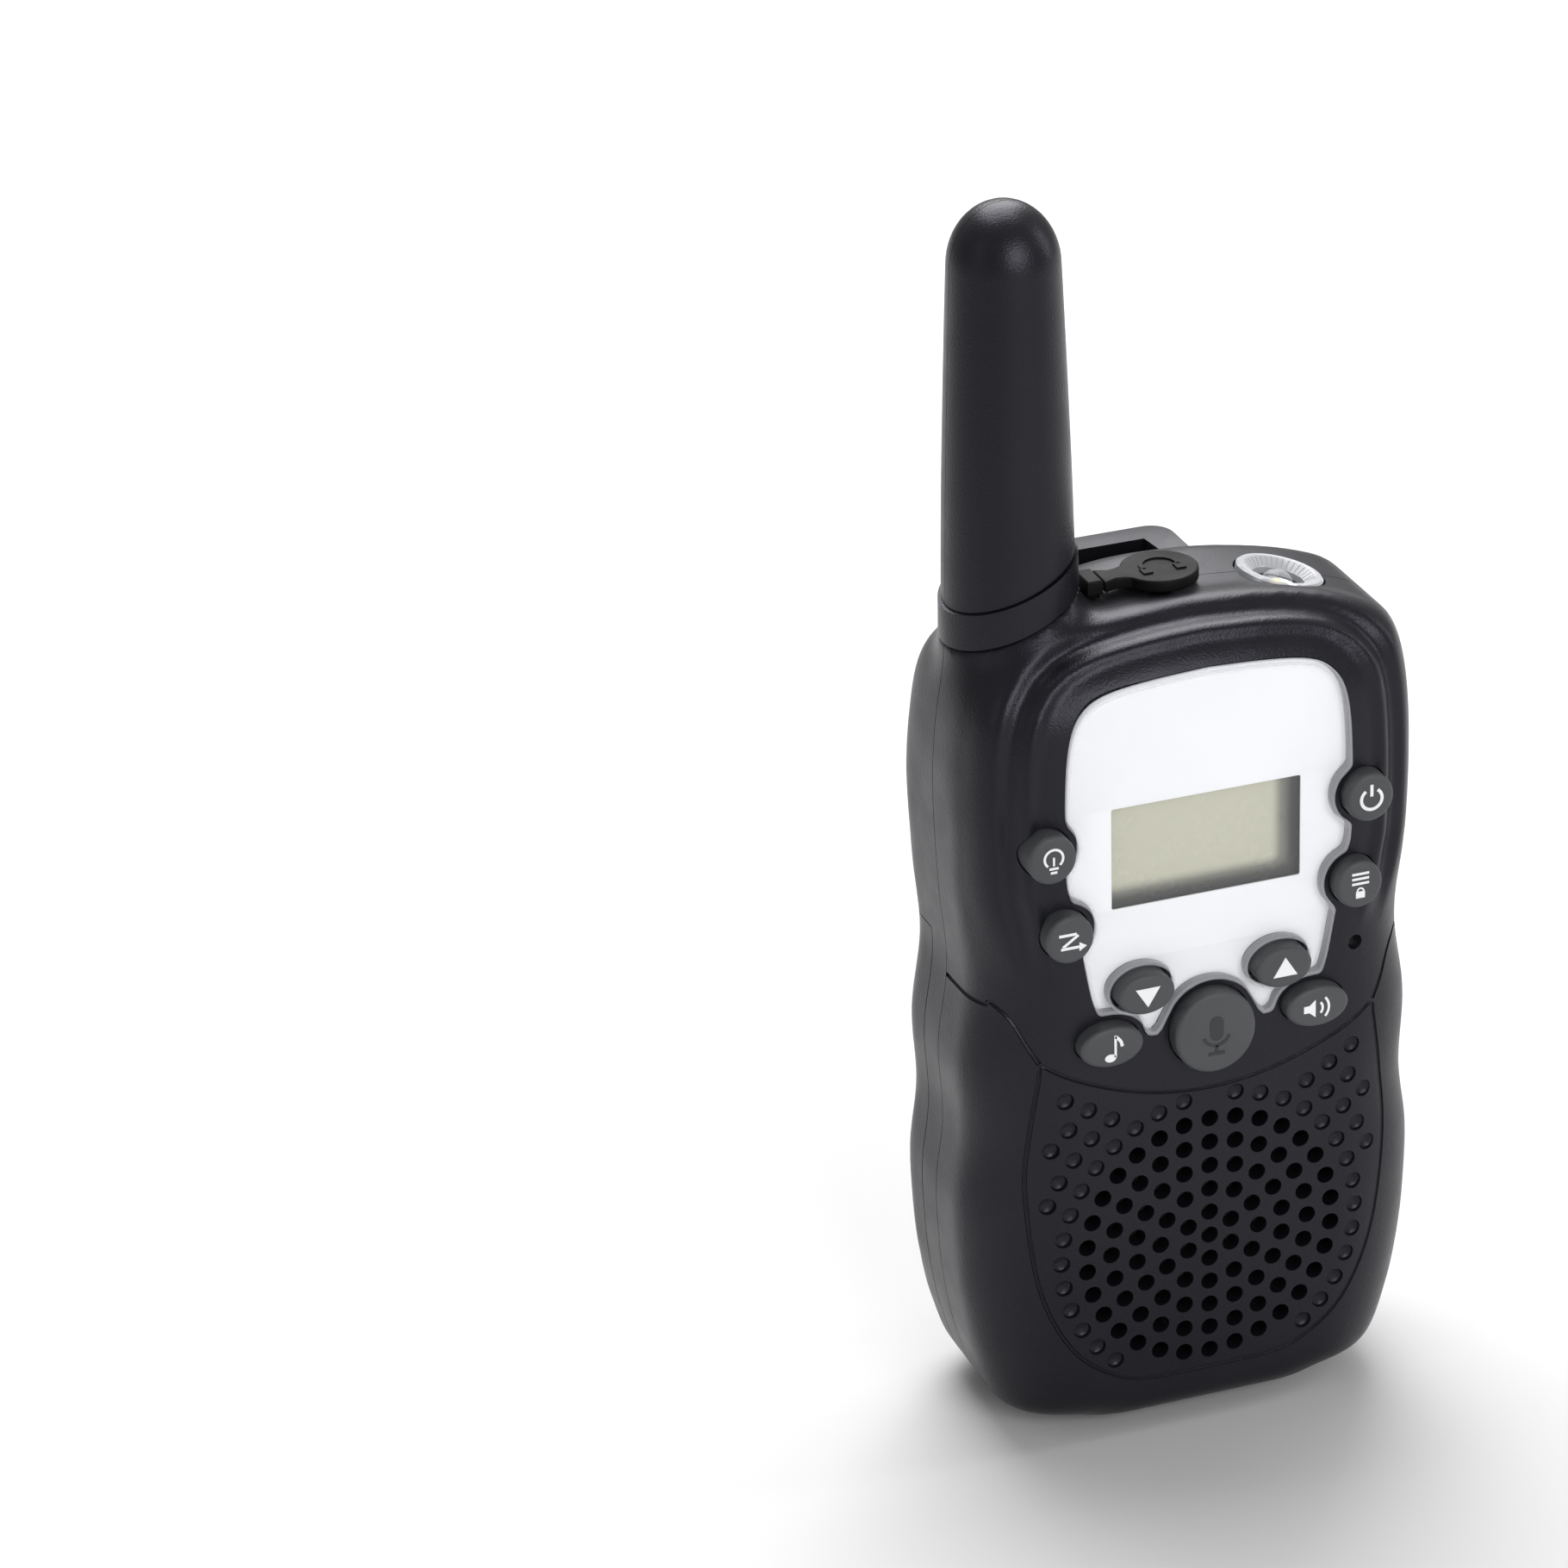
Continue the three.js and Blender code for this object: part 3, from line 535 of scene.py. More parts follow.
STEEL_END, SLEEVE, BAND = (0.45, 0.45, 0.46), (0.020, 0.110, 0.210), (0.50, 0.52, 0.54)
CELL_STOPS = {
    "up": [(0.0, STEEL_END), (0.03, SLEEVE), (0.80, SLEEVE), (0.81, BAND), (0.95, BAND),
           (0.96, STEEL_END)],
    "down": [(0.0, STEEL_END), (0.04, STEEL_END), (0.05, BAND), (0.19, BAND), (0.20, SLEEVE),
             (0.96, SLEEVE), (0.97, STEEL_END)],
}


def cell_material(positive_end):
    """Plain jacket of a dry cell: a blue sleeve, a pale band by its positive end, bare steel ends."""
    paint = Paint("cell_jacket_" + positive_end, grey(0.1), 0.3, Metallic=0.6)
    paint.feed(paint.ramp(paint.axes("Generated")["Z"], CELL_STOPS[positive_end]), "Base Color")
    paint.clouded(paint.noise(500), 0.22, 0.36, "Roughness")
    return paint.material


LCD = lcd_material()
CELL_UP, CELL_DOWN = map(cell_material, CELL_STOPS)


# ---- the case as one smooth form ----
def outline_half(inset, count):
    half = curve(OUTLINE, count)
    return np.stack([half[:, 0] * (1 - inset / HALF_WIDTH),
                     half[:, 1] + inset * (1 - 2 * half[:, 1] / BODY_TOP)], 1)


def case_section(ring, edge, draw, y):
    x, z = ring.T
    lift = edge["base"] * step(-WAIST, 0, -z) - edge["top"] * step(WAIST, BODY_TOP, z)
    width = 1 - draw * edge["side"] / HALF_WIDTH
    return np.stack([x * width, np.full(len(x), y), z + draw * lift], 1)


def case_form(inset, front, rear, count, steps):
    """The case's outline lofted from front to rear, with quarter-ellipse edges, drawn in by `inset`."""
    ring = both_sides(outline_half(inset, count))
    angles = np.linspace(0, math.pi / 2, steps + 1)
    rings = []
    for edge, end, sign in ((FRONT_EDGE, front, 1), (REAR_EDGE, rear, -1)):
        depth = sign * (edge["depth"] - EDGE_THINNING * inset)
        rings += [case_section(ring, edge, 1 - math.sin(a), end + depth * (1 - math.cos(a)))
                  for a in angles[::sign]]
    return stacked(rings)


def distance_to(path, x, z):
    """Distance of each (x, z) from a closed polyline, negative inside it."""
    best = np.full(len(x), 1e9)
    inside = np.zeros(len(x), bool)
    for (ax, az), (bx, bz) in zip(path, np.roll(path, -1, 0)):
        dx, dz = bx - ax, bz - az
        t = np.clip(((x - ax) * dx + (z - az) * dz) / (dx * dx + dz * dz + 1e-12), 0, 1)
        best = np.minimum(best, np.hypot(x - ax - t * dx, z - az - t * dz))
        crosses = (az > z) != (bz > z)
        inside ^= crosses & (x < ax + (z - az) * dx / (dz if abs(dz) > 1e-12 else 1e-12))
    return np.where(inside, -best, best)


def lens_outline(grow=0.0):
    """The lens's edge in X-Z, scalloped round the keys at its rim and `grow` larger all round."""
    cx, cz = LENS_MIDDLE
    turn, count = 2 * math.pi, 360
    angles = turn * np.arange(count) / count
    ox, oz = (both_sides(curve(LENS[::-1], 60)) - (cx, cz)).T
    order = np.argsort(np.arctan2(oz, ox))
    reach = np.interp(angles, np.arctan2(oz, ox)[order] % turn, np.hypot(ox, oz)[order],
                      period=turn) + grow
    for name in KEYS:
        if name in LENS_KEYS:
            continue
        x, z, rx, rz = key_size(name)
        rx, rz = rx + KEY_MARGIN - grow, rz + KEY_MARGIN - grow
        dx, dz = np.cos(angles) / rx, np.sin(angles) / rz
        ex, ez = (cx - x) / rx, (cz - z) / rz
        a, b, c = dx * dx + dz * dz, dx * ex + dz * ez, ex * ex + ez * ez - 1
        root = b * b - a * c
        entry = np.where(root > 0, (-b - np.sqrt(np.maximum(root, 0))) / a, 1e9)
        reach = np.minimum(reach, np.where(entry > 0, entry, 1e9))
    reach = (np.roll(reach, 1) + 2 * reach + np.roll(reach, -1)) / 4
    return np.stack([cx + reach * np.cos(angles), cz + reach * np.sin(angles)], 1)


def key_size(name):
    low, high = node_box(name)
    return (*((low + high) / 2)[[0, 2]], *((high - low) / 2 - KEY_FLANGE)[[0, 2]])


def front_relief(piece):
    """Raises the front face's nested rims: a crease, a hollow and the outer shoulder."""
    points = read_points(piece)
    normals = np.empty(len(points) * 3, np.float32)
    piece.data.vertices.foreach_get("normal", normals)
    x, y, z = points.T
    level = distance_to(both_sides(curve(LENS[::-1], 40)), x, z)
    away = np.hypot(np.maximum(level, 0), 0.9 * np.maximum(y - FRONT_Y - 0.1, 0))
    rim = sum(height * step(start, end, away) for height, start, end in RIMS)
    upper = step(*RIM_FADE, z)
    share = rim * upper * step(SEAM, SEAM - 4.0, y) * (level > 0)
    write_points(piece, points + share[:, None] * normals.reshape(-1, 3))
    relax(piece, 0.5 * upper, 3)


def leaning(form, angle, x, z):
    """Turns a form towards +X and moves it to (x, SEAM, z)."""
    points, faces = form
    c, s = math.cos(angle), math.sin(angle)
    a, b, h = points.T
    return outward(np.stack([c * a + s * h + x, b + SEAM, -s * a + c * h + z], 1), faces)


def slant(height):
    """Block below a plane that climbs towards +X about the antenna's axis."""
    below = block((-40, 40), (-40, 40), (-60, 0))
    return leaning(below, -math.atan(NECK["slope"]), NECK["x"], height)


def neck_form():
    """Foot of the antenna, widening as it runs down into the case."""
    r = NECK["radius"]
    profile = [(0, 78), (r + 0.9, 78), (r + 0.8, 88), (r + 0.5, 93), (r + 0.1, 97), (r, 100), (r, 110),
               (0, 110)]
    return turned(profile, 96, NECK["x"], SEAM)


VOXEL = 0.5


def smooth_case():
    """Case and neck grown together, with a fillet where they meet."""
    case = make_object("case_form", case_form(0, FRONT_Y, REAR_Y, 180, 22))
    apply_modifier(case, "REMESH", mode="VOXEL", voxel_size=VOXEL)
    neck = make_object("neck", neck_form())
    keep(neck, slant(NECK["seam"] - 0.1))
    cut(case, post(NECK["x"], SEAM, NECK["radius"] + 0.3, (88, 130), 96))
    grow(case, post(NECK["x"], SEAM, NECK["radius"] + 1.2, (70, 90)), neck)
    apply_modifier(case, "REMESH", mode="VOXEL", voxel_size=VOXEL)
    x, y, z = read_points(case).T
    off_axis = np.hypot(x - NECK["x"], y - SEAM)
    below_seam = NECK["seam"] + NECK["slope"] * (x - NECK["x"]) - z
    near = (step(FILLET["outer"], FILLET["inner"], off_axis) * step(0.3, 1.6, below_seam)
            * step(FILLET["low"], FILLET["full"], z))
    relax(case, 0.12 + 0.7 * near, 10)
    relax(case, 0.8 * near, FILLET["rounds"])
    front_relief(case)
    return case


CASE = smooth_case()
GUIDE = BVHTree.FromObject(CASE, bpy.context.evaluated_depsgraph_get())


def surface(x, z, front=True):
    """Depth of the case's front or rear surface at (x, z)."""
    sign = -1 if front else 1
    hit = GUIDE.ray_cast(Vector((x, sign * FAR, z)), Vector((0, -sign, 0)))[0]
    return hit.y if hit else sign * 10.0


def around(side, z, angle):
    """Point of the case's side surface at height z, `angle` from straight sideways to the front."""
    heading = Vector((-side * math.cos(angle), math.sin(angle), 0))
    start = Vector((side * 14, SEAM, z)) - heading * FAR
    hit = GUIDE.ray_cast(start, heading)[0]
    return tuple(hit)


# ---- cutters shared by the shells ----
def tilted(form):
    """Moves a form made about the Z axis onto the torch's tilted axis."""
    return leaning(form, TORCH["tilt"], TORCH["x"], TORCH["z"])


def top_seats():
    """Holes for the torch, the headphone socket, its cover's strap and the antenna's root."""
    above = BODY_TOP + 8
    return [
        tilted(post(0, 0, TORCH["ring"] + 0.28, (-2.0, 8), 64)),
        tilted(post(0, 0, TORCH["well"], (-7, 2), 32)),
        post(JACK["x"], SEAM, JACK["socket"], (90, above)),
        block((-9.9, -7.9), (SEAM - 1.2, SEAM + 1.2), (97, above)),
        antenna_bore(78, 130),
    ]


def antenna_bore(low, high):
    return post(NECK["x"], SEAM, NECK["bore"], (low, high))


def hollow_form(front, rear, inset=WALL):
    return case_form(inset, front, rear, 60, 8)


def grille_outline():
    left = curve(GRILLE_EDGE, 40)
    corner_x, corner_z = GRILLE_EDGE[0]
    top = np.array([(x, GRILLE_TOP_SAG + (corner_z - GRILLE_TOP_SAG) * (x / corner_x) ** 2)
                    for x in np.linspace(-corner_x, corner_x, 24)[1:-1]])
    right = left[::-1] * (-1, 1)
    return np.concatenate([left, right, top])


def grille_holes():
    """Rings of open holes over the speaker, and shallow cups in the rest of the panel."""
    edge = grille_outline()
    through, dimples = [], []
    for ring in range(GRILLE["rings"] + 1):
        count = max(1, 6 * ring)
        for i in range(count):
            angle = 2 * math.pi * i / count + math.pi / 2
            x = ring * GRILLE["pitch"] * math.cos(angle)
            z = GRILLE["z"] + ring * GRILLE["pitch"] * math.sin(angle)
            if ring <= GRILLE["open"]:
                through.append(bore(x, z, GRILLE["hole"], (AHEAD, -9), 28))
            elif distance_to(edge, np.array([x]), np.array([z]))[0] < -GRILLE["margin"]:
                y = surface(x, z)
                cup = [(0, y - 1), (1.15, y - 1), (1.1, y + 0.1), (0.95, y + 0.45), (0.6, y + 0.65),
                       (0, y + 0.7)]
                dimples.append(facing(cup, x, z, 1, 1, 16))
    return joined(through), joined(dimples)


def on_case(outline, front=True):
    return [(x, surface(x, z, front), z) for x, z in outline]


def side_groove(side):
    """Groove from the parting line round the flank, then down to the corner of the grille panel."""
    flank = [around(side, GROOVE_START + GROOVE_WAVE * math.sin(a), a)
             for a in np.linspace(0.0, GROOVE_TURN, 12)]
    front = on_case([(side * x, z) for x, z in SIDE_GROOVE])
    return tube(curve(flank + front, 60), 0.32)


def front_case():
    piece = copy_of(CASE, "front_case")
    keep(piece, slab((-FAR, SEAM - SEAM_GAP / 2)))
    cut(piece, hollow_form(FRONT_Y + FRONT_WALL, 13), *top_seats())
    w = WINDOW
    width, height = w["x"] + WINDOW_PLAY, w["half"] + WINDOW_PLAY
    cut(piece, prism(lens_outline(0.15), (AHEAD, RECESS_Y)),
        block((-width, width), (AHEAD, -8), (w["z"] - height, w["z"] + height)))
    for name in KEYS:
        x, z, rx, rz = key_size(name)
        cut(piece, rod(x, z, rx + KEY_PLAY, rz + KEY_PLAY, (AHEAD, -6), 48))
    edge = on_case(curve(grille_outline(), 170, closed=True))
    through, dimples = grille_holes()
    cut(piece, through, dimples, tube(edge, 0.3, closed=True), side_groove(1), side_groove(-1))
    mic = node_centre("mic_capsule")
    cut(piece, bore(mic[0], mic[2], MIC_HOLE, (AHEAD, -8), 24))
    return place(piece, "case", SHELL, ["front_shell"])


def rear_hollow():
    """Inside of the rear half, less its walls round the cells, the clip's pocket and the screws."""
    hollow = make_object("hollow", hollow_form(FRONT_Y + 2, REAR_Y - REAR_WALL))
    cut(hollow, slab((-FAR, BAY["floor"]), (-FAR, BAY["roof"])), slab((0, FAR), (62, BAY["roof"])),
        block((-11.4, 11.4), (10.3, FAR), (76, FAR)))
    for side in (1, -1):
        cut(hollow, bore(side * SCREW["x"], SCREW["z"], SCREW["boss"], (0, FAR)))
    return hollow


def bay_block(half, low_y, high_y, end=0.0):
    return block((-half, half), (low_y, high_y), (BAY["low"] - end, BAY["high"] + end))


def battery_tray():
    tray = make_object("tray", hollow_form(FRONT_Y + 2, REAR_Y - 2.3, WALL + 0.1))
    wall = BAY["wall"]
    keep(tray, bay_block(BAY["half"] + wall, BAY["floor"] - wall, BAY["rim"], BAY["end"]))
    cut(tray, bay_block(BAY["half"], BAY["floor"], FAR))
    return tray


def grip_lines():
    """Three staggered wavy grip lines below the clip's tip."""
    lines = []
    for shift, z in ((0.6, 41.4), (0.0, 39.6), (-0.9, 37.9)):
        wave = [(shift + 4.2 * t, z - 0.75 * t + 0.45 * math.sin(math.pi * t))
                for t in np.linspace(-1, 1, 16)]
        lines.append(tube(on_case(wave, front=False), 0.3))
    return lines


def arrow_mark():
    points = [(-14.2, 84.6), (-16.6, 82.2), (-14.4, 80.4)]
    path = curve([(x, surface(x, z, front=False) + 0.05, z) for x, z in points], 12)
    return tube(path, 0.17, 6)


def rear_case():
    piece = copy_of(CASE, "rear_case")
    keep(piece, slab((SEAM + SEAM_GAP / 2, FAR)))
    cut(piece, rear_hollow(), slab((COVER_Y - JOINT_GAP, FAR), (-FAR, COVER_TOP)),
        bay_block(BAY["mouth"], BAY["floor"], FAR))
    grow(piece, battery_tray())
    for side in (1, -1):
        x, z = side * SCREW["x"], SCREW["z"]
        cut(piece, bore(x, z, SCREW["well"], (SCREW["floor"], FAR), 40),
            bore(x, z, SCREW["shank"], (0, 10), 16))
    cut(piece, *top_seats(), clip_pocket())
    cut(piece, rounded_plate((-13.5, 13.5), (79, 99), 2.2, (14.4, FAR)),
        rounded_plate((-14, 14), (63.4, 75.9), 1.4, (14.5, FAR)))
    low, high = node_box("clip_catch")
    cut(piece, block((low[0] - 0.3, high[0] + 0.3), (9.5, FAR), (low[2] - 0.3, high[2] + 0.4)),
        arrow_mark())
    return place(piece, "case", SHELL, ["rear_shell"])


def rounded_rectangle(x, z, radius, steps=8):
    """Outline of a rectangle with round corners."""
    left, right, low, high = x[0] + radius, x[1] - radius, z[0] + radius, z[1] - radius
    corners = enumerate([(right, high), (left, high), (left, low), (right, low)])
    return np.concatenate([arc(*middle, radius, 90 * i, 90 * i + 90, steps) for i, middle in corners])


def rounded_plate(x, z, radius, y):
    return prism(rounded_rectangle(x, z, radius), y)


def clip_pocket():
    slot, half, y, low = POCKET["slot"], POCKET["half"], POCKET["y"], POCKET["low"]
    pocket = make_object("pocket", block((-slot, slot), y, (low, FAR)))
    grow(pocket, block((-half, half), (y[0], FAR), (low, FAR)),
         block((-slot, slot), (y[0], FAR), (POCKET["deck"], FAR)))
    return pocket


def battery_door():
    piece = copy_of(CASE, "battery_door")
    keep(piece, slab((COVER_Y + JOINT_GAP, FAR), (-FAR, COVER_TOP - 2 * JOINT_GAP)))
    cut(piece, hollow_form(FRONT_Y, REAR_Y - 1.5, COVER_WALL))
    for x in (-10.5, 10.5):
        tab = (x - 1.4, x + 1.4)
        grow(piece, block(tab, (12, 13), (50, 61.6)), block(tab, (12.5, 14), (50, 55)))
    cut(piece, *grip_lines())
    return place(piece, "battery_cover", SHELL, ["battery_cover"])


# ---- antenna ----
def antenna_profile():
    dome_radius, dome_rise = 6.6, 7.6
    shoulder = ANTENNA_TIP - dome_rise
    dome = [(dome_radius * math.cos(a), shoulder + dome_rise * math.sin(a))
            for a in np.linspace(0, math.pi / 2, 16)[1:-1]]
    side = curve([(7.9, 96), (7.85, 104), (7.55, 118), (7, 134), (dome_radius, shoulder)], 24)
    return [(0, 96), *[tuple(p) for p in side], *dome, (0, ANTENNA_TIP)]


def antenna():
    halves = {"front": (-FAR, SEAM - JOINT_GAP / 2), "rear": (SEAM + JOINT_GAP / 2, FAR)}
    for side, y in halves.items():
        piece = make_object(f"aerial_{side}_half", turned(antenna_profile(), 128, NECK["x"], SEAM))
        cut(piece, slant(NECK["joint"] + JOINT_GAP), antenna_bore(90, 139))
        keep(piece, slab(y, (0, FAR)))
        place(piece, "case", SHELL, [f"antenna_{side}_half"])
    band = [(0, 88), (8.3, 88), (8.28, 98), (8.2, 105), (8.1, 114), (0, 114)]
    collar = make_object("aerial_collar", turned(band, 128, NECK["x"], SEAM))
    keep(collar, slant(NECK["joint"] - JOINT_GAP))
    cut(collar, slant(NECK["seam"] + JOINT_GAP), antenna_bore(80, 139))
    place(collar, "case", SHELL, ["antenna_collar"])


# ---- flat outlines made into bevelled plates ----
def bevelled(name, outlines, span, bevel, resolution=3, level=False):
    """Plate with rounded rims between two depths, or two heights when level. Later outlines are holes."""
    shape = bpy.data.curves.new(name, "CURVE")
    shape.dimensions = "2D"
    shape.fill_mode = "BOTH"
    shape.extrude = (span[1] - span[0]) / 2 - bevel
    shape.bevel_depth = bevel
    shape.bevel_resolution = resolution
    shape.offset = -bevel
    for outline in outlines:
        line = shape.splines.new("POLY")
        line.points.add(len(outline) - 1)
        for point, (x, z) in zip(line.points, outline):
            point.co = (x, z, 0, 1)
        line.use_cyclic_u = True
    holder = add_object(name + "_outline", shape)
    mesh = evaluated_mesh(holder)
    bpy.data.objects.remove(holder)
    middle = sum(span) / 2
    if level:
        mesh.transform(Matrix.Translation((0, SEAM, middle)))
    else:
        mesh.transform(Matrix.Translation((0, middle, 0)) @ Matrix.Rotation(math.pi / 2, 4, "X"))
    piece = add_object(name, mesh)
    apply_modifier(piece, "WELD", merge_threshold=0.002)
    return piece


def key_hole(name, margin):
    """Edge of the hole round a key that stands inside the lens."""
    x, z, rx, rz = key_size(name)
    return ellipse(x, z, rx + margin, rz + margin, 64)[::-1]


def display():
    """The clear lens with its raised lip, and the silver mask behind it."""
    lens = bevelled("lens", [lens_outline(), *[key_hole(name, 0.55) for name in LENS_KEYS]],
                    (LENS_LOW[1] - 0.25, LENS_HIGH[1]), 0.3)
    place(lens, "case", LENS_CLEAR, ["display_lens"], 15)
    lip = (LENS_LOW[1] - 0.42, LENS_HIGH[1] - 0.1)
    place(bevelled("lens_rim", [lens_outline(0.05), lens_outline(-0.5)[::-1]], lip, 0.2),
          "case", LENS_RIM)
    for name in LENS_KEYS:
        ring = [key_hole(name, 0.95)[::-1], key_hole(name, 0.5)]
        place(bevelled(name.replace("key", "lens_rim"), ring, lip, 0.18),
              "case", LENS_RIM)
    w = WINDOW
    low, high = node_box("display_mask")
    window = rounded_rectangle((-w["x"], w["x"]), (w["z"] - w["half"], w["z"] + w["half"]), 0.25, 4)[::-1]
    mask = bevelled("mask", [lens_outline(-0.3), window, *[key_hole(name, 0.8) for name in LENS_KEYS]],
                    (low[1], high[1]), 0.03, 1)
    place(mask, "case", SILVER, ["display_mask"])


# ---- keys and their symbols ----
def stroke(points, width):
    """Outline of a line of even width with square ends."""
    p = np.asarray(points, float)
    ahead = np.gradient(p, axis=0)
    ahead /= np.linalg.norm(ahead, axis=1)[:, None]
    side = np.stack([-ahead[:, 1], ahead[:, 0]], 1) * width / 2
    return np.concatenate([p + side, (p - side)[::-1]])


def bar(x1, z1, x2, z2, width):
    return stroke([(x1, z1), (x2, z2)], width)


def arc(x, z, radius, start, end, count=24):
    a = np.radians(np.linspace(start, end, count))
    return np.stack([x + radius * np.cos(a), z + radius * np.sin(a)], 1)


THIN, BOLD = 0.26, 0.34
HORN = [(-1.7, 0.4), (-1.7, -0.4), (-1.1, -0.4), (-0.4, -1.0), (-0.4, 1.0), (-1.1, 0.4)]
SYMBOLS = {
    "key_lamp": [stroke(arc(0, 0.35, 1.0, -50, 230, 28), THIN), bar(-0.5, -0.75, 0.5, -0.75, THIN),
                 bar(-0.35, -1.2, 0.35, -1.2, THIN), bar(0, -0.45, 0, 0.5, 0.22)],
    "key_power": [stroke(arc(0, 0, 1.15, 125, 415, 32), BOLD), bar(0, 0.3, 0, 1.6, BOLD)],
    "key_scan": [bar(-1.35, 0.75, 0.55, 0.75, 0.3), bar(0.75, 0.6, -0.95, -0.55, 0.3),
                 bar(-1.15, -0.75, 0.85, -0.75, 0.3), [(0.85, -0.25), (0.85, -1.25), (1.65, -0.75)]],
    "key_menu": [*[bar(-0.95, z, 0.95, z, THIN) for z in (1.35, 0.8, 0.25)],
                 [(-0.5, -0.65), (0.5, -0.65), (0.5, -1.4), (-0.5, -1.4)],
                 stroke(arc(0, -0.62, 0.34, 0, 180, 12), 0.18)],
    "key_down": [[(-1.35, 0.85), (1.35, 0.85), (0, -1.3)]],
    "key_up": [[(-1.35, -0.85), (1.35, -0.85), (0, 1.3)]],
    "key_melody": [ellipse(-0.35, -1.05, 0.62, 0.45, 24), bar(0.2, -1.0, 0.2, 1.45, THIN),
                   stroke(curve([(0.2, 1.35), (0.75, 0.75), (0.95, 0.1)], 10), BOLD)],
    "key_monitor": [HORN, *[stroke(arc(-0.5, 0, radius, -42, 42, count), THIN)
                            for radius, count in ((0.9, 12), (1.6, 16))]],
    "key_talk": [np.concatenate([arc(0, 1.15, 0.75, 0, 180, 12), arc(0, -0.1, 0.75, 180, 360, 12)]),
                 stroke(arc(0, 0.1, 1.5, 200, 340, 20), BOLD), bar(0, -1.4, 0, -2.2, BOLD),
                 bar(-0.9, -2.35, 0.9, -2.35, BOLD)],
}
HEADPHONES = [stroke(arc(0, 0, 2.2, -20, 200, 30), 0.5),
              *[[(side * x, y) for x, y in ((2.7, -0.4), (1.5, -0.4), (1.5, -1.9), (2.7, -1.9))]
                for side in (-1, 1)]]


def cap_profile(top, radius):
    """Side of a key cap from its flange to its crowned top: (share of the radius, y)."""
    round_off, crown = 0.55, 0.12
    rim = [(1 - round_off * (1 - math.cos(a)) / radius, top + crown + round_off * (1 - math.sin(a)))
           for a in np.linspace(0, math.pi / 2, 8)]
    return [(0, -10.1), (1.0, -10.1), *rim, (0.6, top + 0.04), (0.3, top + 0.01), (0, top)]


def keys():
    for name in KEYS:
        x, z, rx, rz = key_size(name)
        low, high = node_box(name)
        profile = cap_profile(low[1], min(rx, rz))
        cap = make_object(name + "_cap", facing(profile, x, z, rx + KEY_SWELL, rz + KEY_SWELL, 80))
        grow(cap, rod(x, z, rx + KEY_FLANGE, rz + KEY_FLANGE, KEY_ROOT, 48),
             bore(x, z, KEY_STEM, (-10.4, high[1]), 16))
        place(cap, name, KEY_RUBBER, [name])
        symbol = [prism(SYMBOL_SCALE * np.asarray(p) + (x, z), (low[1] - 0.05, low[1] + 0.3))
                  for p in SYMBOLS[name]]
        place(make_object(name + "_symbol", joined(symbol)), name,
              EMBOSS if name == "key_talk" else LEGEND)


# ---- top of the case ----
def jack_cover():
    low, high = node_box("jack_cover")
    top, radius, strap_end = high[2], high[0] - JACK["x"], low[0]
    join_angle = 155
    disc = arc(0, 0, radius, -join_angle, join_angle, 72)
    strap = np.array([(-5.0, disc[-1][1] * 0.8), (-6.0, 1.35), (strap_end, STRAP)])
    outline = np.concatenate([disc, strap, strap[::-1] * (1, -1)])
    cover = bevelled("jack_flap", [outline], (top - 1.5, top), 0.25, level=True)
    grow(cover, post(JACK["x"], SEAM, JACK["pin"], (low[2], top - 1.0), 24))
    place(cover, "jack_cover", RUBBER, ["jack_cover"])
    marks = joined([level_prism(np.asarray(p) + (0, SEAM), (top - 0.2, top + 0.22)) for p in HEADPHONES])
    place(make_object("jack_flap_symbol", marks), "jack_cover", RUBBER)
    low, high = node_box("jack_strap_anchor")
    outline = [(low[0], -STRAP), (high[0], -STRAP), (high[0], STRAP), (low[0], STRAP)]
    anchor = bevelled("jack_strap_end", [outline], (high[2] - 1.9, high[2]), 0.3, level=True)
    grow(anchor, block((low[0] + 0.2, high[0] - 0.3), (SEAM - 0.9, SEAM + 0.9), (low[2], high[2] - 1)))
    place(anchor, "case", RUBBER, ["jack_strap_anchor"])


def torch():
    """Clear faceted ring round a domed lamp with its emitter and reflector."""
    edge = TORCH["ring"]
    ring = [(3.2, -1.6), (edge, -1.6), (edge, 0.0), (edge - 0.25, 0.22), (4.5, 0.25), (4.2, 0.1),
            (3.2, -0.8)]
    lens = make_object("torch_ring", tilted(turned(ring, 96)))
    facets = [tube([(r * c, r * s, h) for r, h in ((3.3, -0.7), (4.3, 0.15))], 0.08, 6)
              for c, s in zip(*circle(36))]
    cut(lens, *[tilted(f) for f in facets])
    place(lens, "case", LAMP_RING, ["led_lens_ring"], 30)
    dome = [(1.95 * math.cos(a), -1.6 + 1.7 * math.sin(a)) for a in np.linspace(0, math.pi / 2, 12)[:-1]]
    bulb = [(0, -6.5), (2.5, -6.5), (2.5, -1.7), *dome, (0, 0.1)]
    place(make_object("torch_lamp", tilted(turned(bulb, 64))), "case", LAMP_CLEAR,
          ["led_lamp"])
    chip = make_object("torch_emitter", tilted(block((-0.55, 0.55), (-0.55, 0.55), (-1.9, -1.2))))
    place(chip, "case", EMITTER)
    bowl = [(2.55, -2.0), (2.95, -1.75), (2.95, -2.4), (2.55, -2.4)]
    place(make_object("torch_reflector", tilted(turned(bowl, 64))), "case", STEEL)


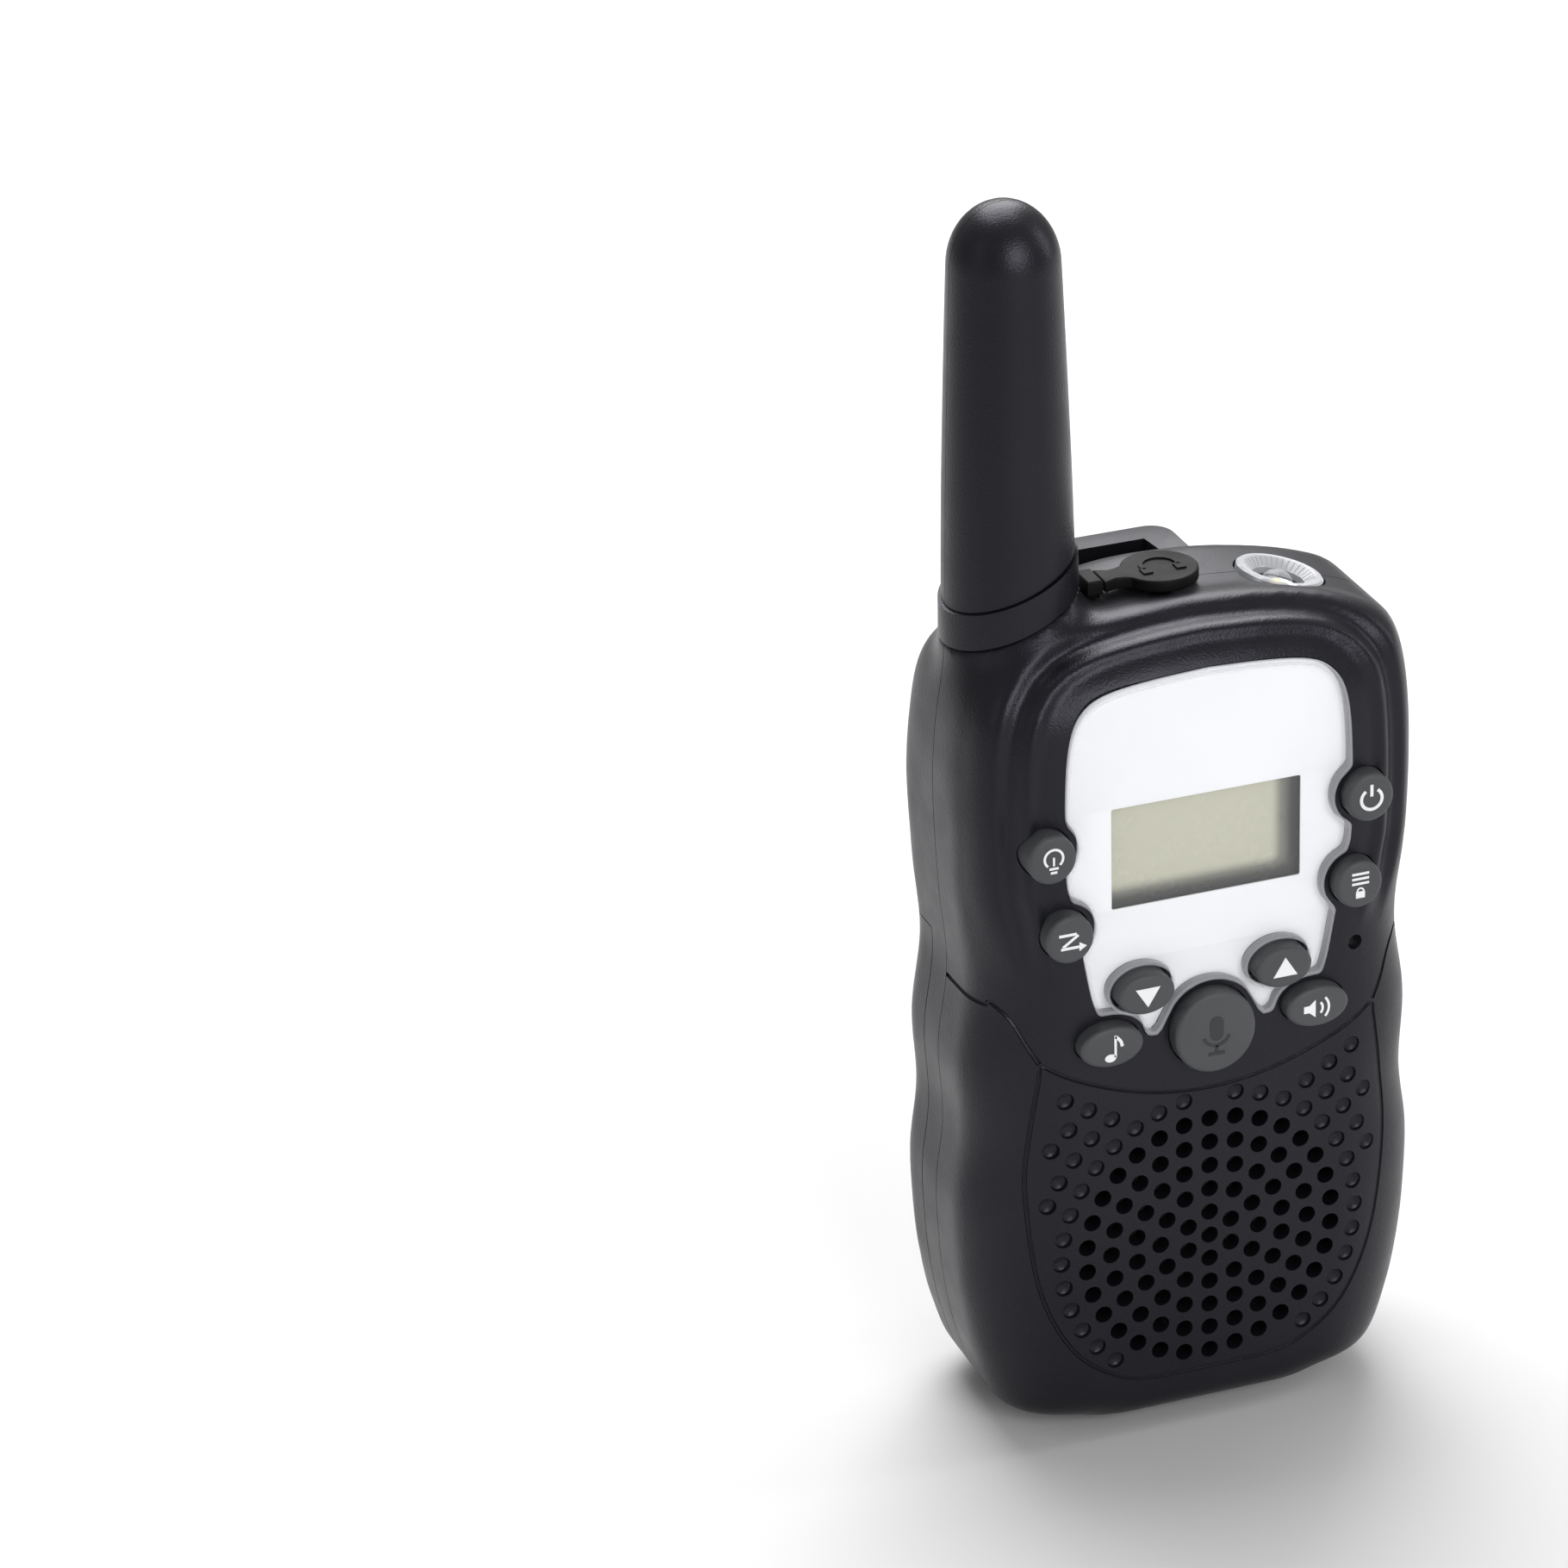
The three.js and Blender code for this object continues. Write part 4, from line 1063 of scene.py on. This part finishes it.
# ---- belt clip ----
def belt_clip():
    """Sliding frame of the clip: a deck with a window, two rails and the collar that holds the tongue."""
    low, high = node_box("belt_clip_base")
    x, front, back, top = high[0], low[1], high[1], high[2]
    tongue_low, tongue_high = node_box("belt_clip_tongue")
    corner, arm = 3, top - 1.8
    deck = np.concatenate([[(-x, front), (x, front), (x, back - corner)],
                           arc(x - corner, back - corner, corner, 0, 90, 10)[1:],
                           arc(corner - x, back - corner, corner, 90, 180, 10), [(-x, back - corner)]])
    clip = bevelled("clip_deck", [deck - (0, SEAM)], (arm, top), 0.35, level=True)
    grow(clip, block((-x + 0.02, x - 0.02), (front + 0.02, front + 1.4), (low[2], arm + 0.4)))
    grow(clip, bevelled("clip_collar", [rounded_top(x, tongue_high[2] + 0.3, top - 0.3)],
                        (tongue_low[1], back), 0.3))
    window = [(-5.4, 13.6), (5.4, 13.6), (5.0, 17.4), (-5.0, 17.4)]
    cut(clip, level_prism(window, (arm - 3, FAR)),
        block((-3.3, 3.3), (front - 1, 14.5), (0, FAR)),
        block((-5.2, 5.2), (front - 1, 14.5), (94.5, FAR)))
    place(clip, "belt_clip", CLIP_PLASTIC, ["belt_clip_base"])
    tongue()


def rounded_top(x, low, high, radius=1.2):
    """Upright outline with round upper corners."""
    right = arc(x - radius, high - radius, radius, 0, 90, 8)
    return np.concatenate([[(x, low)], right, right[::-1] * (-1, 1), [(-x, low)]])


def tongue():
    low, high = node_box("belt_clip_tongue")
    x, tip, seam = high[0], low[2], high[2]
    taper = [(x, 64), (8.9, 59), (7.6, 51.5), (6.2, 47), (4.6, 45.2), (2.4, tip + 0.25), (0, tip)]
    right = np.concatenate([[(x, seam)], curve(taper, 30)])
    outline = np.concatenate([right, right[-2::-1] * (-1, 1)])
    hole = rounded_rectangle((-2.7, 2.7), (90.8, 94.4), 1.7)[::-1]
    piece = bevelled("clip_tongue_plate", [outline, hole], (low[1], high[1]), 0.35)
    relief = [(-6.9, 94.6), (-6.6, 89.5), (-5.4, 84.5), (-3.0, 80.9), (0, 79.7), (3.0, 80.9), (5.4, 84.5),
              (6.6, 89.5), (6.9, 94.6)]
    path = curve([(a, high[1], b) for a, b in relief], 60)
    cut(piece, tube(path, 0.55, 10))
    rim = [(a * 1.1, high[1] - 0.15, b - 0.9) for a, b in relief]
    grow(piece, tube(curve(rim, 60), 0.42, 10))
    place(piece, "clip_tongue", CLIP_PLASTIC, ["belt_clip_tongue"])


def clip_catch():
    low, high = node_box("clip_catch")
    foot, root, tip, top = low[2], low[1], high[1], high[2]
    side = [(root, foot), (root + 1.3, foot), (root + 1.3, top - 2.2), (tip - 0.5, top - 1.9),
            (tip, top - 1.3), (tip - 0.9, top - 0.2), (root + 1.2, top), (root, top - 0.4)]
    piece = make_object("clip_latch", stacked([[(x, a, b) for a, b in side] for x in (low[0], high[0])]))
    apply_modifier(piece, "BEVEL", width=0.2, segments=2, limit_method="ANGLE")
    place(piece, "clip_catch", CLIP_PLASTIC, ["clip_catch"])


def label():
    low, high = node_box("label_sticker")
    piece = bevelled("label_sheet", [rounded_rectangle((low[0], high[0]), (low[2], high[2]), 1.1)],
                     (low[1], high[1]), 0.03, 1)
    place(piece, "case", LABEL, ["label_sticker"])
    bars = [((low[0] + 1.4, -9.9), z) for z in (73.2, 70.9, 68.9, 66.9)] + [((10.0, 12.4), 66.0)]
    thick, ink = 0.7, (high[1] - 0.01, high[1] + 0.02)
    marks = [block(x, ink, (z, z + thick)) for x, z in bars]
    place(make_object("label_marks", joined(marks)), "case", LABEL_INK)


# ---- CAD nodes that stay as they are get their materials ----
NODE_MATERIALS = [
    (LCD, "lcd_glass"), (WHITE, "lcd_frame backlight_plate"), (CIRCUIT, "main_pcb"),
    (RUBBER, "zebra_strip keypad_membrane speaker_wire battery_wire speaker_gasket"),
    (STEEL, "dome_sheet rf_shield mic_capsule speaker_frame screw_1 screw_2 screw_3 screw_4"),
    (CHIP, "main_ic jack_socket"), (PAPER, "speaker_cone"), (FERRITE, "speaker_magnet"),
    (COPPER, "antenna_coil"), (CELL_DOWN, "battery_1 battery_4"), (CELL_UP, "battery_2 battery_3"),
    (NICKEL, "contact_plate_lower_left contact_plate_lower_right contact_plate_upper terminal_positive "
             "terminal_negative contact_spring_1 contact_spring_2 contact_spring_3 contact_spring_4"),
]


def dress_nodes():
    for material, names in NODE_MATERIALS:
        for name in names.split():
            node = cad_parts[name]
            node.data.materials.clear()
            node.data.materials.append(material)


# ---- stage ----
FLOOR_GREYS = (0.63, 0.65)


def stage():
    size = 6.0
    corners = [(-size, -size, 0), (size, -size, 0), (size, size, 0), (-size, size, 0)]
    floor = make_object("floor", (corners, [(0, 1, 2, 3)]))
    paint = Paint("floor", grey(0.9), 0.85)
    paint.clouded(paint.noise(8, 2), *FLOOR_GREYS, "Base Color")
    floor.data.materials.append(paint.material)


SOFTBOXES = {  # place and size in metres, and power
    "softbox_top": ((0.05, 0.36, 0.80), (0.65, 0.60), 8.0),
    "softbox_back": ((0.30, 0.95, 0.75), (0.90, 0.55), 7.0),
    "softbox_left": ((-0.80, -0.20, 0.40), (0.12, 0.60), 0.3),
    "softbox_right": ((0.80, -0.10, 0.40), (0.12, 0.60), 1.2),
    "softbox_front": ((0.15, -1.10, 0.55), (0.70, 0.60), 7.6),
}
LIGHT_AIM, WORLD_LIGHT = Vector((0, 0, 0.07)), 0.34


def lights():
    world = bpy.data.worlds.new("studio")
    world.use_nodes = True
    background = world.node_tree.nodes["Background"].inputs
    background["Color"].default_value = (1, 1, 1, 1)
    background["Strength"].default_value = WORLD_LIGHT
    bpy.context.scene.world = world
    bpy.context.scene.view_settings.view_transform = "Standard"
    for name, (spot, size, power) in SOFTBOXES.items():
        light = bpy.data.lights.new(name, "AREA")
        light.shape = "RECTANGLE"
        light.size, light.size_y = size
        light.energy = power
        holder = add_object(name, light)
        holder.location = spot
        holder.rotation_euler = (LIGHT_AIM - Vector(spot)).to_track_quat("-Z", "Y").to_euler()


def camera():
    azimuth, elevation, roll = map(math.radians, (CAMERA_AZIMUTH, CAMERA_ELEVATION, CAMERA_ROLL))
    data = bpy.data.cameras.new("camera")
    data.lens = CAMERA_LENS
    data.sensor_width = 36
    data.clip_end = 50
    holder = add_object("camera", data)
    aim = Matrix.Rotation(azimuth, 4, "Z") @ Matrix.Rotation(math.pi / 2 - elevation, 4, "X")
    holder.matrix_world = Matrix.Translation(CAMERA_PLACE) @ aim @ Matrix.Rotation(roll, 4, "Z")
    bpy.context.scene.camera = holder


front_case()
rear_case()
battery_door()
antenna()
display()
keys()
jack_cover()
torch()
belt_clip()
clip_catch()
label()
dress_nodes()
bpy.data.objects.remove(CASE)
camera()
lights()
stage()
